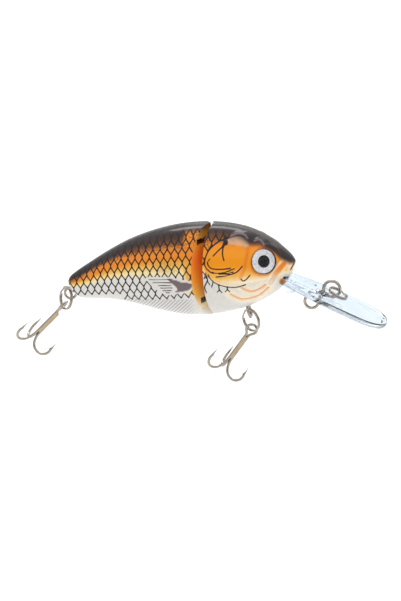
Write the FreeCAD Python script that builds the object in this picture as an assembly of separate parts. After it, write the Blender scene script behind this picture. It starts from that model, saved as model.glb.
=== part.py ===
# Jointed deep-diving crankbait: a hollow body in a head and a tail section, a clear diving bill,
# wire fittings and treble hooks.
# Millimetres. +X is the nose, +Y the fish's left, +Z up and along the hinge pin.
# The origin is the centre of the line-tie wire's upper eye, where the fishing line's ring goes.
import FreeCAD, Part
import math
import os
from FreeCAD import Vector

os.makedirs("parts", exist_ok=True)

# ---------------------------------------------------------------- driving dimensions
# Body stations, tail to nose: top x, top z, bottom x, bottom z, half width,
# and the widest point's share of the height.
BODY_STATIONS = [
    (-84.9, 4.7, -84.5, 1.9, 1.1, 0.50),
    (-84.1, 6.0, -83.2, 0.2, 2.2, 0.50),
    (-81.6, 7.9, -81.0, -1.2, 3.1, 0.50),
    (-77.0, 10.8, -77.0, -1.5, 4.3, 0.50),
    (-71.0, 14.4, -71.0, -1.75, 5.8, 0.50),
    (-64.0, 17.9, -64.0, -3.0, 7.4, 0.50),
    (-56.0, 20.7, -56.0, -5.3, 8.9, 0.50),
    (-48.0, 22.45, -48.0, -7.0, 9.9, 0.50),
    (-40.0, 23.05, -40.0, -7.35, 10.2, 0.50),
    (-32.0, 22.5, -32.0, -6.2, 9.9, 0.50),
    (-25.0, 20.75, -25.4, -4.3, 8.9, 0.50),
    (-19.3, 17.85, -20.8, -2.1, 7.5, 0.50),
    (-14.9, 14.4, -17.3, 0.0, 5.8, 0.49),
    (-12.2, 11.7, -15.2, 1.9, 4.3, 0.47),
    (-11.2, 10.2, -14.4, 3.3, 2.8, 0.45),
]
SECTION_POWER = 2.15      # 2 is an ellipse, more is squarer
SECTION_POINTS = 28
SECTIONS_PER_STATION = 2
WALL = 1.4
RIB_THICKNESS = 1.0
HEAD_CAVITY_STATIONS = (8.5, 12)
HEAD_CAVITY_REACH = (-33.2, -18.4)
HEAD_RIB_X = -22.6
HEAD_FLOOR_REACH = (-30.0, -18.0)
TAIL_CAVITY_STATIONS = (2.6, 7.5)
TAIL_CAVITY_REACH = (-78.0, -46.5)
TAIL_RIBS_X = (-72.0, -64.0)
SEAT_CLEARANCE = 0.02     # round wires and the bill where the shells hold them

# The joint: the tail's wedge nose sits in the head's shallow V, and one upright pin joins them.
HINGE_X = -40.5
HEAD_REAR_X = -36.3       # the V's deepest line, at the middle plane
HEAD_REAR_SLOPE = 0.32    # how far back the V runs, per millimetre out from the middle
TAIL_FRONT_X = -37.4      # the wedge's leading line
TAIL_BEVEL_SLOPE = 0.575
REGION_HALF_WIDTH = 12.0
REGION_BOTTOM_Z = -12.0
REGION_TOP_Z = 28.0
REGION_TAIL_X = -95.0
REGION_NOSE_X = 0.0
HINGE_EYE_HEIGHTS = {"upper_hinge_eye": 18.3, "lower_hinge_eye": -1.0}
HINGE_SLOT_HEIGHT = 1.8
HINGE_SLOT_HALF_WIDTH = 6.6
HINGE_SLOT_REAR_X = -43.4
PIN_RADIUS = 0.65
PIN_BOTTOM_Z = -4.6
PIN_TOP_Z = 20.9
PIN_RUNNING_CLEARANCE = 0.09
HINGE_WIRE_RADIUS = 0.5
HINGE_LEG_LENGTH = 8.6
HINGE_FLARE_RADIUS = 0.6
LEG_GAP = 0.03            # half the gap between a wire eye's two legs

# Diving bill: a flat blade that leaves the mouth and slopes down.
BILL_ROOT = Vector(-13.5, 0, 3.4)
BILL_SLOPE = math.radians(26.9)
BILL_LENGTH = 34.1
BILL_THICKNESS = 1.7
BILL_ROOT_HALF_WIDTH = 5.7
BILL_STEM_LENGTH = 9.4
BILL_STEM_HALF_WIDTH = 7.3
BILL_HALF_WIDTH = 8.2
BILL_TIP_LENGTH = 9.5
BILL_TONGUE_LENGTH = 6.2
BILL_TONGUE_HALF_WIDTH = 3.0
BILL_RIM = 1.3
BILL_DISH_DEPTH = 0.55
BILL_RIB_OFFSETS = (-3.1, 3.1)
BILL_PEG_RADIUS = 0.9
BILL_PEG_U = -4.2
BILL_KEEL_DEPTH = 3.6
BILL_KEEL_THICKNESS = 1.4
BILL_SHOULDER_LENGTH = 8.0    # where the blade widens past the stem
BILL_TIP_POWER = 2.3
BILL_RIB_HALF_WIDTH = 0.45
BILL_RIB_HEIGHT = 0.5
BILL_BOSS_RADIUS = 2.3
BILL_BOSS_HEIGHT = 0.7
BILL_BOSS_BEFORE_EYE = 2.1
BILL_KEEL_REACH = (-1.0, 1.2, BILL_STEM_LENGTH - 2.2)
BILL_DISH_GAP = 1.2           # from the stem's end to the dish
BILL_SOCKET_CLEARANCE = 0.05
MOUTH_REACH = (-1.6, 4.0)
MOUTH_SIDE_CLEARANCE = 0.4
CHIN_SLOT_REACH = (-1.1, 6.0)
CHIN_SLOT_DEPTHS = (-0.5, -5.0)
OVERLAP = 0.1                 # how far joined solids run into each other

# Line tie: one wire bent into a figure of eight that crosses the bill.
TIE_WIRE_RADIUS = 0.52
TIE_UPPER_RADIUS = 2.65
TIE_LOWER_CENTRE = Vector(-6.7, 0, -4.0)
TIE_LOWER_RADIUS = 2.2
TIE_LEG_OFFSET = 0.62
TIE_FLARE_RADIUS = 0.8

# Split rings: two close coils of one wire.
RING_WIRE_RADIUS = 0.27
RING_PITCH = 0.56
HOOK_RING_RADIUS = 3.58
TIE_RING_RADIUS = 3.1
RING_END_ANGLE = math.radians(24)

# Hook hangers.
HANGER_WIRE_RADIUS = 0.45
HANGER_FLARE_RADIUS = 0.9
BELLY_HANGER_CENTRE = Vector(-26.95, 0, -6.75)
BELLY_HANGER_RADIUS = 2.1
BELLY_HANGER_LEAN = math.radians(13)
BELLY_HANGER_LEG = 6.0
TAIL_HANGER_CENTRE = Vector(-84.6, 0, 0.2)
TAIL_HANGER_RADIUS = 1.8
TAIL_HANGER_RISE = math.radians(22)
TAIL_HANGER_LEG = 8.0

# Treble hooks: a double hook bent from one wire, and a single hook brazed to it.
HOOK_WIRE_RADIUS = 0.45
HOOK_EYE_RADIUS = 1.7
HOOK_FLARE_RADIUS = 2.0
HOOK_SHANK_OFFSET = 0.53
HOOK_SHANK_END = 12.3
HOOK_EASE_RADIUS = 7.0
HOOK_EASE_ANGLE = math.radians(30)
HOOK_BEND_RADIUS = 3.05
HOOK_BEND_ANGLE = math.radians(185)
HOOK_POINT_LENGTH = 3.6
HOOK_TIP_RADIUS = 0.04
BARB_REACH = (0.25, 0.55, 2.2)    # where the barb starts, stands highest and ends, from the point's start
BARB_HEIGHT = 0.7
BARB_THICKNESS = 0.3
HOOK_LEG_JOIN = 3.0           # where the double hook's legs meet its shanks, below the eye
HOOK_SPREAD = math.radians(30)
RING_JOG = 0.35               # how far the jog's handles reach, as a share of its length
BRAZE_RADIUS = 0.72
BRAZE_TOP = 3.1
BRAZE_BOTTOM = 12.0
SHANK_IN_BRAZE = 0.3

# Eyes.
EYE_CENTRE = Vector(-20.0, 0, 11.8)
EYE_RADIUS = 4.05
EYE_TURN = 10             # degrees that each eye is turned from the skin towards the nose
EYE_SOCKET_CLEARANCE = 0.06
EYE_SOCKET_DEPTH = 1.0
EYE_FOIL_THICKNESS = 0.3
EYE_DOME_HEIGHT = 1.15
EYE_SEATING = 0.02        # how far the foil stands off its socket's floor
EYE_BOSS_WALL = 1.0
EYE_BOSS_DEPTH = 2.4

# Loose and fixed weights.
BALLAST_CENTRE = Vector(-22.1, 0, 0.9)
BALLAST_RADIUS = 2.2
BALLAST_LENGTH = 5.8
HEAD_RATTLE_CENTRE = Vector(-27.0, 0, 7.0)
TAIL_RATTLE_CENTRE = Vector(-55.0, 0, 4.0)
RATTLE_RADIUS = 2.0
RATTLE_TRAVEL = 3.0
RATTLE_CLEARANCE = 0.12


# ---------------------------------------------------------------- curves and frames
def spline_values(rows, t):
    """Every column of rows at t, by a cubic through the rows with slopes from each row's neighbours."""
    last = len(rows) - 1
    k = min(int(t), last - 1)
    f = t - k
    before = rows[max(k - 1, 0)]
    after = rows[min(k + 2, last)]
    values = []
    for a, p, q, b in zip(before, rows[k], rows[k + 1], after):
        slope_p = (q - a) / (2 if k > 0 else 1)
        slope_q = (b - p) / (2 if k + 2 <= last else 1)
        hermite = (2 * f ** 3 - 3 * f ** 2 + 1) * p + (f ** 3 - 2 * f ** 2 + f) * slope_p
        hermite += (3 * f ** 2 - 2 * f ** 3) * q + (f ** 3 - f ** 2) * slope_q
        values.append(hermite)
    return values


def body_point(t, angle, inset=0.0):
    """A point of the body's skin at station t; angle 0 is the back, a quarter turn is the left side."""
    top_x, top_z, bottom_x, bottom_z, half_width, share = spline_values(BODY_STATIONS, t)
    top = Vector(top_x, 0, top_z)
    bottom = Vector(bottom_x, 0, bottom_z)
    chord = (top - bottom).normalize()
    top = top - chord * inset
    bottom = bottom + chord * inset
    middle = bottom + (top - bottom) * share
    up = math.cos(angle)
    out = math.sin(angle)
    rise = math.copysign(abs(up) ** (2 / SECTION_POWER), up)
    spread = math.copysign(abs(out) ** (2 / SECTION_POWER), out)
    reach = (top - middle) if up >= 0 else (middle - bottom)
    return middle + reach * rise + Vector(0, (half_width - inset) * spread, 0)


def body_section(t, inset=0.0):
    """The closed outline of the skin at station t."""
    points = [body_point(t, 2 * math.pi * i / SECTION_POINTS, inset) for i in range(SECTION_POINTS)]
    curve = Part.BSplineCurve()
    curve.interpolate(Points=points, PeriodicFlag=True)
    return Part.Wire(curve.toShape())


def body_loft(first, last, inset=0.0):
    """A solid between two stations, inset from the skin."""
    steps = int(round((last - first) * SECTIONS_PER_STATION))
    sections = [body_section(first + (last - first) * i / steps, inset) for i in range(steps + 1)]
    return Part.makeLoft(sections, True, False)


def arc_edge(centre, radius, start, end, right, up):
    """An arc in the plane of the unit vectors right and up, from angle start to angle end."""
    def at(angle):
        return centre + right * (radius * math.cos(angle)) + up * (radius * math.sin(angle))
    return Part.Arc(at(start), at((start + end) / 2), at(end)).toShape()


def line_edge(start, end):
    return Part.LineSegment(start, end).toShape()


def round_wire(edges, radius):
    """A round wire that follows the edges, which join end to end with no corner."""
    path = Part.Wire(edges)
    first = edges[0]
    start = first.valueAt(first.FirstParameter)
    along = first.tangentAt(first.FirstParameter)
    section = Part.Wire(Part.Circle(start, along, radius).toShape())
    return path.makePipeShell([section], True, False)


def loop_edges(centre, loop_radius, leg_offset, flare_radius, leg_length, leg_dir, side_dir):
    """A wire eye with two parallel legs: up one leg, round the loop and down the other.

    leg_dir points from the loop's centre along the legs; the legs end leg_length from the centre.
    """
    flare_out = leg_offset + flare_radius
    neck = math.sqrt((loop_radius + flare_radius) ** 2 - flare_out ** 2)
    turn = math.atan2(flare_out, neck)
    leg_a = centre + leg_dir * leg_length + side_dir * leg_offset
    neck_a = centre + leg_dir * neck + side_dir * leg_offset
    leg_b = centre + leg_dir * leg_length - side_dir * leg_offset
    neck_b = centre + leg_dir * neck - side_dir * leg_offset
    flare_a = centre + leg_dir * neck + side_dir * flare_out
    flare_b = centre + leg_dir * neck - side_dir * flare_out
    half = math.pi / 2
    return [
        line_edge(leg_a, neck_a),
        arc_edge(flare_a, flare_radius, -half, -math.pi + turn, leg_dir, side_dir),
        arc_edge(centre, loop_radius, turn, 2 * math.pi - turn, leg_dir, side_dir),
        arc_edge(flare_b, flare_radius, math.pi - turn, half, leg_dir, side_dir),
        line_edge(neck_b, leg_b),
    ]


def box(x0, x1, y0, y1, z0, z1):
    return Part.makeBox(x1 - x0, y1 - y0, z1 - z0, Vector(x0, y0, z0))


def prism(points, low, high):
    """An upright prism on plan points (x, y)."""
    corners = [Vector(x, y, low) for x, y in points]
    face = Part.Face(Part.makePolygon(corners + [corners[0]]))
    return face.extrude(Vector(0, 0, high - low))


def fuse(first, *others):
    return first.multiFuse(list(others)) if others else first


# ---------------------------------------------------------------- hinge eyes and pin
def hinge_eye(height, growth=0.0):
    """A closed wire eye round the pin, with two legs that run forward into the head."""
    loop_radius = PIN_RADIUS + PIN_RUNNING_CLEARANCE + HINGE_WIRE_RADIUS
    edges = loop_edges(Vector(HINGE_X, 0, height), loop_radius, HINGE_WIRE_RADIUS + LEG_GAP,
                       HINGE_FLARE_RADIUS, HINGE_LEG_LENGTH, Vector(1, 0, 0), Vector(0, 1, 0))
    return round_wire(edges, HINGE_WIRE_RADIUS + growth)


def hinge_pin(growth=0.0):
    return Part.makeCylinder(PIN_RADIUS + growth, PIN_TOP_Z - PIN_BOTTOM_Z,
                             Vector(HINGE_X, 0, PIN_BOTTOM_Z))


# ---------------------------------------------------------------- hook hangers
def belly_hanger(growth=0.0):
    """A wire eye across the belly; its legs go up into the head and lean back."""
    up = Vector(-math.sin(BELLY_HANGER_LEAN), 0, math.cos(BELLY_HANGER_LEAN))
    edges = loop_edges(BELLY_HANGER_CENTRE, BELLY_HANGER_RADIUS, HANGER_WIRE_RADIUS + LEG_GAP,
                       HANGER_FLARE_RADIUS, BELLY_HANGER_LEG, up, Vector(0, 1, 0))
    return round_wire(edges, HANGER_WIRE_RADIUS + growth)


def tail_hanger(growth=0.0):
    """A wire eye in the middle plane at the tail's end; its legs go forward into the tail."""
    along = Vector(math.cos(TAIL_HANGER_RISE), 0, math.sin(TAIL_HANGER_RISE))
    across = Vector(-along.z, 0, along.x)
    edges = loop_edges(TAIL_HANGER_CENTRE, TAIL_HANGER_RADIUS, HANGER_WIRE_RADIUS + LEG_GAP,
                       HANGER_FLARE_RADIUS, TAIL_HANGER_LEG, along, across)
    return round_wire(edges, HANGER_WIRE_RADIUS + growth)


# ---------------------------------------------------------------- diving bill and line tie
BILL_ALONG = Vector(math.cos(BILL_SLOPE), 0, -math.sin(BILL_SLOPE))
BILL_UP = Vector(math.sin(BILL_SLOPE), 0, math.cos(BILL_SLOPE))


def on_bill(along, across, up):
    return BILL_ROOT + BILL_ALONG * along + Vector(0, across, 0) + BILL_UP * up


def bill_half_width(u):
    """Half the blade's width at u from the root, outside the rounded tip."""
    if u < BILL_STEM_LENGTH:
        return BILL_ROOT_HALF_WIDTH + (BILL_STEM_HALF_WIDTH - BILL_ROOT_HALF_WIDTH) * u / BILL_STEM_LENGTH
    share = min((u - BILL_STEM_LENGTH) / BILL_SHOULDER_LENGTH, 1.0)
    return BILL_STEM_HALF_WIDTH + (BILL_HALF_WIDTH - BILL_STEM_HALF_WIDTH) * math.sin(share * math.pi / 2)


def bill_plate(start, inset, low, high):
    """The blade's outline, moved in by inset, between two heights above its middle plane."""
    tip_start = BILL_LENGTH - BILL_TIP_LENGTH
    side = []
    for i in range(8):
        u = start + (tip_start - start) * i / 7
        side.append((u, bill_half_width(u) - inset))
    for i in range(1, 9):
        angle = math.pi / 2 * i / 8
        reach = (BILL_TIP_LENGTH - inset) * math.sin(angle) ** (2 / BILL_TIP_POWER)
        spread = (BILL_HALF_WIDTH - inset) * math.cos(angle) ** (2 / BILL_TIP_POWER) if i < 8 else 0.0
        side.append((tip_start + reach, spread))
    across = side + [(u, -w) for u, w in reversed(side[:-1])]
    curve = Part.BSplineCurve()
    curve.interpolate([on_bill(u, w, low) for u, w in across])
    closing = line_edge(on_bill(*across[-1], low), on_bill(*across[0], low))
    face = Part.Face(Part.Wire([curve.toShape(), closing]))
    return face.extrude(BILL_UP * (high - low))


def bill_box(u0, u1, half_width, low, high, across=0.0):
    corners = [on_bill(u, across + y, low) for u, y in
               ((u0, -half_width), (u1, -half_width), (u1, half_width), (u0, half_width))]
    face = Part.Face(Part.makePolygon(corners + [corners[0]]))
    return face.extrude(BILL_UP * (high - low))


def line_tie(growth=0.0):
    """The upper eye stands over the bill, the lower eye hangs under it, and both legs cross the bill."""
    upper = Vector(0, 0, 0)
    lower = TIE_LOWER_CENTRE
    span = (lower - upper).Length
    down = (lower - upper).normalize()
    side = Vector(-down.z, 0, down.x)
    edges = loop_edges(upper, TIE_UPPER_RADIUS, TIE_LEG_OFFSET, TIE_FLARE_RADIUS, span / 2, down, side)
    edges += loop_edges(lower, TIE_LOWER_RADIUS, TIE_LEG_OFFSET, TIE_FLARE_RADIUS, span / 2,
                        down * -1, side * -1)
    return round_wire(Part.sortEdges(edges)[0], TIE_WIRE_RADIUS + growth)


def bill_keel():
    """A web under the stem, deepest near the mouth."""
    back, deep, front = BILL_KEEL_REACH
    side = -BILL_KEEL_THICKNESS / 2
    top = OVERLAP - BILL_THICKNESS / 2
    corners = [on_bill(back, side, top), on_bill(front, side, top),
               on_bill(deep, side, -BILL_THICKNESS / 2 - BILL_KEEL_DEPTH)]
    face = Part.Face(Part.makePolygon(corners + [corners[0]]))
    return face.extrude(Vector(0, BILL_KEEL_THICKNESS, 0))


def diving_bill():
    """Stem, dished blade, ribs, a boss for the line tie, a keel and a tongue that the head holds."""
    half = BILL_THICKNESS / 2
    dish_start = BILL_STEM_LENGTH + BILL_DISH_GAP
    blade = bill_plate(0.0, 0.0, -half, half)
    dish = bill_plate(dish_start, BILL_RIM, half - BILL_DISH_DEPTH, half + 1.0)
    tongue = bill_box(-BILL_TONGUE_LENGTH, 0.5, BILL_TONGUE_HALF_WIDTH, -half, half)
    rib_top = half + BILL_RIB_HEIGHT
    ribs = [bill_box(0.0, BILL_STEM_LENGTH, BILL_RIB_HALF_WIDTH, half - OVERLAP, rib_top, across)
            for across in BILL_RIB_OFFSETS]
    boss_u = (Vector(0, 0, 0) - BILL_ROOT).dot(BILL_ALONG) - BILL_BOSS_BEFORE_EYE
    boss = Part.makeCylinder(BILL_BOSS_RADIUS, BILL_THICKNESS + BILL_BOSS_HEIGHT,
                             on_bill(boss_u, 0, -half), BILL_UP)
    solid = fuse(blade.cut(dish), tongue, boss, bill_keel(), *ribs)
    peg_hole = Part.makeCylinder(BILL_PEG_RADIUS + BILL_SOCKET_CLEARANCE, 2 * BILL_THICKNESS,
                                 on_bill(BILL_PEG_U, 0, -BILL_THICKNESS), BILL_UP)
    return solid.cut(peg_hole).cut(line_tie(SEAT_CLEARANCE)).removeSplitter()


# ---------------------------------------------------------------- eyes
def eye_frame(side):
    """An eye's centre on the skin and its outward direction; side is -1 for the right and 1 for the left."""
    best = None
    for i in range(1201):
        t = 9 + 5 * i / 1200
        for j in range(40, 80):
            point = body_point(t, math.pi * j / 160)
            gap = math.hypot(point.x - EYE_CENTRE.x, point.z - EYE_CENTRE.z)
            if best is None or gap < best[0]:
                best = (gap, t, math.pi * j / 160, point)
    _, t, angle, point = best
    along = body_point(t + 0.02, angle) - body_point(t - 0.02, angle)
    around = body_point(t, angle + 0.02) - body_point(t, angle - 0.02)
    outward = along.cross(around).normalize()
    if outward.y < 0:
        outward = outward * -1
    turned = FreeCAD.Rotation(Vector(0, 0, 1), -EYE_TURN).multVec(outward)
    return Vector(point.x, side * point.y, point.z), Vector(turned.x, side * turned.y, turned.z)


EYE_FRAMES = {"right": eye_frame(-1), "left": eye_frame(1)}


def eye_socket(side):
    point, outward = EYE_FRAMES[side]
    return Part.makeCylinder(EYE_RADIUS + EYE_SOCKET_CLEARANCE, EYE_SOCKET_DEPTH + 3.0,
                             point - outward * EYE_SOCKET_DEPTH, outward)


def eye_foil(side):
    point, outward = EYE_FRAMES[side]
    base = point - outward * (EYE_SOCKET_DEPTH - EYE_SEATING)
    return Part.makeCylinder(EYE_RADIUS, EYE_FOIL_THICKNESS, base, outward)


def eye_lens(side):
    """A clear dome on the foil disc: a short drum under a spherical cap."""
    point, outward = EYE_FRAMES[side]
    base = point - outward * (EYE_SOCKET_DEPTH - EYE_SEATING - EYE_FOIL_THICKNESS)
    drum_height = EYE_SOCKET_DEPTH - EYE_FOIL_THICKNESS
    sphere_radius = (EYE_RADIUS ** 2 + EYE_DOME_HEIGHT ** 2) / (2 * EYE_DOME_HEIGHT)
    sphere = Part.makeSphere(sphere_radius, base + outward * (drum_height + EYE_DOME_HEIGHT - sphere_radius))
    column = Part.makeCylinder(EYE_RADIUS, drum_height + EYE_DOME_HEIGHT + 1, base, outward)
    return column.common(sphere)


# ---------------------------------------------------------------- body shells
def slab(x0, x1, top=REGION_TOP_Z):
    """Everything between two x planes, up to a height."""
    return box(x0, x1, -REGION_HALF_WIDTH, REGION_HALF_WIDTH, REGION_BOTTOM_Z, top)


def head_region():
    rear = HEAD_REAR_X - HEAD_REAR_SLOPE * REGION_HALF_WIDTH
    wide = REGION_HALF_WIDTH
    plan = [(HEAD_REAR_X, 0), (rear, -wide), (REGION_NOSE_X, -wide), (REGION_NOSE_X, wide), (rear, wide)]
    return prism(plan, REGION_BOTTOM_Z, REGION_TOP_Z)


def tail_region():
    rear = TAIL_FRONT_X - TAIL_BEVEL_SLOPE * REGION_HALF_WIDTH
    wide = REGION_HALF_WIDTH
    plan = [(TAIL_FRONT_X, 0), (rear, wide), (REGION_TAIL_X, wide), (REGION_TAIL_X, -wide), (rear, -wide)]
    return prism(plan, REGION_BOTTOM_Z, REGION_TOP_Z)


def tube_across(centre, radius, half_length):
    return Part.makeCylinder(radius, 2 * half_length, centre - Vector(0, half_length, 0), Vector(0, 1, 0))


def rattle_chamber(centre):
    """A tube across the body that one ball rolls in."""
    return tube_across(centre, RATTLE_RADIUS + RATTLE_CLEARANCE, RATTLE_RADIUS + RATTLE_TRAVEL + OVERLAP)


def chamber_wall(centre):
    """The chamber's wall with the web across the body that carries it."""
    half_length = RATTLE_RADIUS + RATTLE_TRAVEL + OVERLAP + RIB_THICKNESS
    wall = tube_across(centre, RATTLE_RADIUS + RIB_THICKNESS, half_length)
    return fuse(wall, slab(centre.x - RIB_THICKNESS / 2, centre.x + RIB_THICKNESS / 2))


def cylinder_x(centre, radius, length):
    return Part.makeCylinder(radius, length, centre - Vector(length / 2, 0, 0), Vector(1, 0, 0))


def chin_slot():
    """Room for the bill's keel in the throat."""
    half = BILL_KEEL_THICKNESS / 2 + SEAT_CLEARANCE
    back, front = CHIN_SLOT_REACH
    top, bottom = CHIN_SLOT_DEPTHS
    outline = ((back, top), (front, top), (front, bottom), (back, bottom))
    corners = [on_bill(u, -half, depth) for u, depth in outline]
    return Part.Face(Part.makePolygon(corners + [corners[0]])).extrude(Vector(0, 2 * half, 0))


def mouth_cuts():
    """The socket for the bill's tongue, round the peg that locks it, and the slots for its stem and keel."""
    half = BILL_THICKNESS / 2 + SEAT_CLEARANCE
    tongue = bill_box(-BILL_TONGUE_LENGTH - BILL_SOCKET_CLEARANCE, 0.0,
                      BILL_TONGUE_HALF_WIDTH + BILL_SOCKET_CLEARANCE, -half, half)
    peg = Part.makeCylinder(BILL_PEG_RADIUS, 2 * BILL_THICKNESS,
                            on_bill(BILL_PEG_U, 0, -BILL_THICKNESS), BILL_UP)
    stem = bill_box(*MOUTH_REACH, BILL_ROOT_HALF_WIDTH + MOUTH_SIDE_CLEARANCE, -half, half + BILL_RIB_HEIGHT)
    return [tongue.cut(peg), stem, chin_slot()]


def head_solid(outer):
    """The whole head before it is split: walls, ribs, bosses and seats."""
    cavity = body_loft(*HEAD_CAVITY_STATIONS, WALL).common(slab(*HEAD_CAVITY_REACH))
    floor = slab(*HEAD_FLOOR_REACH, BALLAST_CENTRE.z + BALLAST_RADIUS + WALL)
    eye_bosses = [Part.makeCylinder(EYE_RADIUS + EYE_BOSS_WALL, EYE_BOSS_DEPTH + EYE_SOCKET_DEPTH,
                                    point - outward * EYE_BOSS_DEPTH, outward)
                  for point, outward in EYE_FRAMES.values()]
    cavity = cavity.cut(fuse(slab(HEAD_RIB_X, HEAD_RIB_X + RIB_THICKNESS), floor,
                             chamber_wall(HEAD_RATTLE_CENTRE), *eye_bosses))
    ballast_seat = cylinder_x(BALLAST_CENTRE, BALLAST_RADIUS + SEAT_CLEARANCE,
                              BALLAST_LENGTH + 2 * SEAT_CLEARANCE)
    cuts = [cavity, *mouth_cuts(), rattle_chamber(HEAD_RATTLE_CENTRE), ballast_seat,
            belly_hanger(SEAT_CLEARANCE), eye_socket("right"), eye_socket("left")]
    cuts += [hinge_eye(height, SEAT_CLEARANCE) for height in HINGE_EYE_HEIGHTS.values()]
    solid = outer.common(head_region())
    for cut in cuts:
        solid = solid.cut(cut)
    return solid


def tail_solid(outer):
    """The whole tail before it is split: walls, a solid wedge, ribs and seats."""
    cavity = body_loft(*TAIL_CAVITY_STATIONS, WALL).common(slab(*TAIL_CAVITY_REACH))
    ribs = [slab(x, x + RIB_THICKNESS) for x in TAIL_RIBS_X]
    cavity = cavity.cut(fuse(chamber_wall(TAIL_RATTLE_CENTRE), *ribs))
    slots = [box(HINGE_SLOT_REAR_X, HEAD_REAR_X, -HINGE_SLOT_HALF_WIDTH, HINGE_SLOT_HALF_WIDTH,
                 height - HINGE_SLOT_HEIGHT / 2, height + HINGE_SLOT_HEIGHT / 2)
             for height in HINGE_EYE_HEIGHTS.values()]
    solid = outer.common(tail_region())
    for cut in [cavity, rattle_chamber(TAIL_RATTLE_CENTRE), hinge_pin(SEAT_CLEARANCE),
                tail_hanger(SEAT_CLEARANCE), *slots]:
        solid = solid.cut(cut)
    return solid


def halves(solid):
    """Right and left moulded shells, split on the middle plane."""
    wide = REGION_HALF_WIDTH
    right = box(REGION_TAIL_X, REGION_NOSE_X, -wide, 0, REGION_BOTTOM_Z, REGION_TOP_Z)
    left = box(REGION_TAIL_X, REGION_NOSE_X, 0, wide, REGION_BOTTOM_Z, REGION_TOP_Z)
    return solid.common(right), solid.common(left)


# ---------------------------------------------------------------- rings and hooks
def split_ring(centre, radius, normal, ends_dir):
    """Two flat coils a pitch apart, joined by a short jog; ends_dir points from the centre to the jog."""
    normal = Vector(normal).normalize()
    right = (Vector(ends_dir) - normal * normal.dot(ends_dir)).normalize()
    up = normal.cross(right)
    below = centre - normal * (RING_PITCH / 2)
    above = centre + normal * (RING_PITCH / 2)
    first = arc_edge(below, radius, RING_END_ANGLE, 2 * math.pi - RING_END_ANGLE, right, up)
    second = arc_edge(above, radius, RING_END_ANGLE, 2 * math.pi - RING_END_ANGLE, right, up)
    start = below + right * (radius * math.cos(RING_END_ANGLE)) - up * (radius * math.sin(RING_END_ANGLE))
    end = above + right * (radius * math.cos(RING_END_ANGLE)) + up * (radius * math.sin(RING_END_ANGLE))
    start_dir = right * math.sin(RING_END_ANGLE) + up * math.cos(RING_END_ANGLE)
    end_dir = right * -math.sin(RING_END_ANGLE) + up * math.cos(RING_END_ANGLE)
    reach = (end - start).Length * RING_JOG
    jog = Part.BezierCurve()
    jog.setPoles([start, start + start_dir * reach, end - end_dir * reach, end])
    return round_wire([first, jog.toShape(), second], RING_WIRE_RADIUS)


def hook_edges(out_dir, shank_start):
    """One hook from its shank to its point's start; the eye's centre is at 0 and the shank runs down."""
    down = Vector(0, 0, -1)
    foot = out_dir * HOOK_SHANK_OFFSET + down * HOOK_SHANK_END
    ease_centre = foot + out_dir * HOOK_EASE_RADIUS
    ease_end = ease_centre - out_dir * (HOOK_EASE_RADIUS * math.cos(HOOK_EASE_ANGLE))
    ease_end = ease_end + down * (HOOK_EASE_RADIUS * math.sin(HOOK_EASE_ANGLE))
    towards = out_dir * math.cos(HOOK_EASE_ANGLE) - down * math.sin(HOOK_EASE_ANGLE)
    bend_centre = ease_end + towards * HOOK_BEND_RADIUS
    edges = [
        line_edge(shank_start, foot),
        arc_edge(ease_centre, HOOK_EASE_RADIUS, math.pi, math.pi + HOOK_EASE_ANGLE, out_dir, down * -1),
        arc_edge(bend_centre, HOOK_BEND_RADIUS, math.pi + HOOK_EASE_ANGLE, math.pi + HOOK_BEND_ANGLE,
                 out_dir, down * -1),
    ]
    last = edges[-1]
    tip_start = last.valueAt(last.LastParameter)
    lean = HOOK_BEND_ANGLE - math.pi
    tip_dir = down * -math.cos(lean) - out_dir * math.sin(lean)
    return edges, tip_start, tip_dir


def hook_point(start, direction, out_dir):
    """The tapered point, with a raised barb on its inner side."""
    point = Part.makeCone(HOOK_WIRE_RADIUS, HOOK_TIP_RADIUS, HOOK_POINT_LENGTH, start, direction)
    side = out_dir.cross(direction).normalize()
    inward = side.cross(direction).normalize()
    if inward.dot(out_dir) > 0:
        inward = inward * -1
    begin, peak, end = BARB_REACH
    sunk = inward * -HOOK_TIP_RADIUS
    crown = start + direction * peak + inward * BARB_HEIGHT
    corners = [start + direction * end + sunk, crown, start + direction * begin]
    barb = Part.Face(Part.makePolygon(corners + [corners[0]])).extrude(side * BARB_THICKNESS)
    return point.fuse(barb.translated(side * (-BARB_THICKNESS / 2)))


def hook_directions():
    """Out directions of the double hook's two points and of the single hook."""
    aside = math.cos(HOOK_SPREAD)
    away = math.sin(HOOK_SPREAD)
    return Vector(aside, -away, 0), Vector(-aside, -away, 0), Vector(0, 1, 0)


def double_hook():
    first_dir, second_dir, _ = hook_directions()
    down = Vector(0, 0, -1)
    side = Vector(1, 0, 0)
    leg_offset = HOOK_SHANK_OFFSET * first_dir.x
    depth = Vector(0, HOOK_SHANK_OFFSET * first_dir.y, 0)
    eye = loop_edges(depth, HOOK_EYE_RADIUS, leg_offset, HOOK_FLARE_RADIUS, HOOK_LEG_JOIN, down, side)
    first, first_tip, first_point = hook_edges(
        first_dir, depth + down * HOOK_LEG_JOIN + side * leg_offset)
    second, second_tip, second_point = hook_edges(
        second_dir, depth + down * HOOK_LEG_JOIN - side * leg_offset)
    path = Part.sortEdges(first + eye + second)[0]
    return fuse(round_wire(path, HOOK_WIRE_RADIUS), hook_point(first_tip, first_point, first_dir),
                hook_point(second_tip, second_point, second_dir)).removeSplitter()


def single_hook():
    _, _, out_dir = hook_directions()
    start = out_dir * HOOK_SHANK_OFFSET + Vector(0, 0, -BRAZE_TOP - SHANK_IN_BRAZE)
    edges, tip, direction = hook_edges(out_dir, start)
    return fuse(round_wire(edges, HOOK_WIRE_RADIUS), hook_point(tip, direction, out_dir)).removeSplitter()


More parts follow.
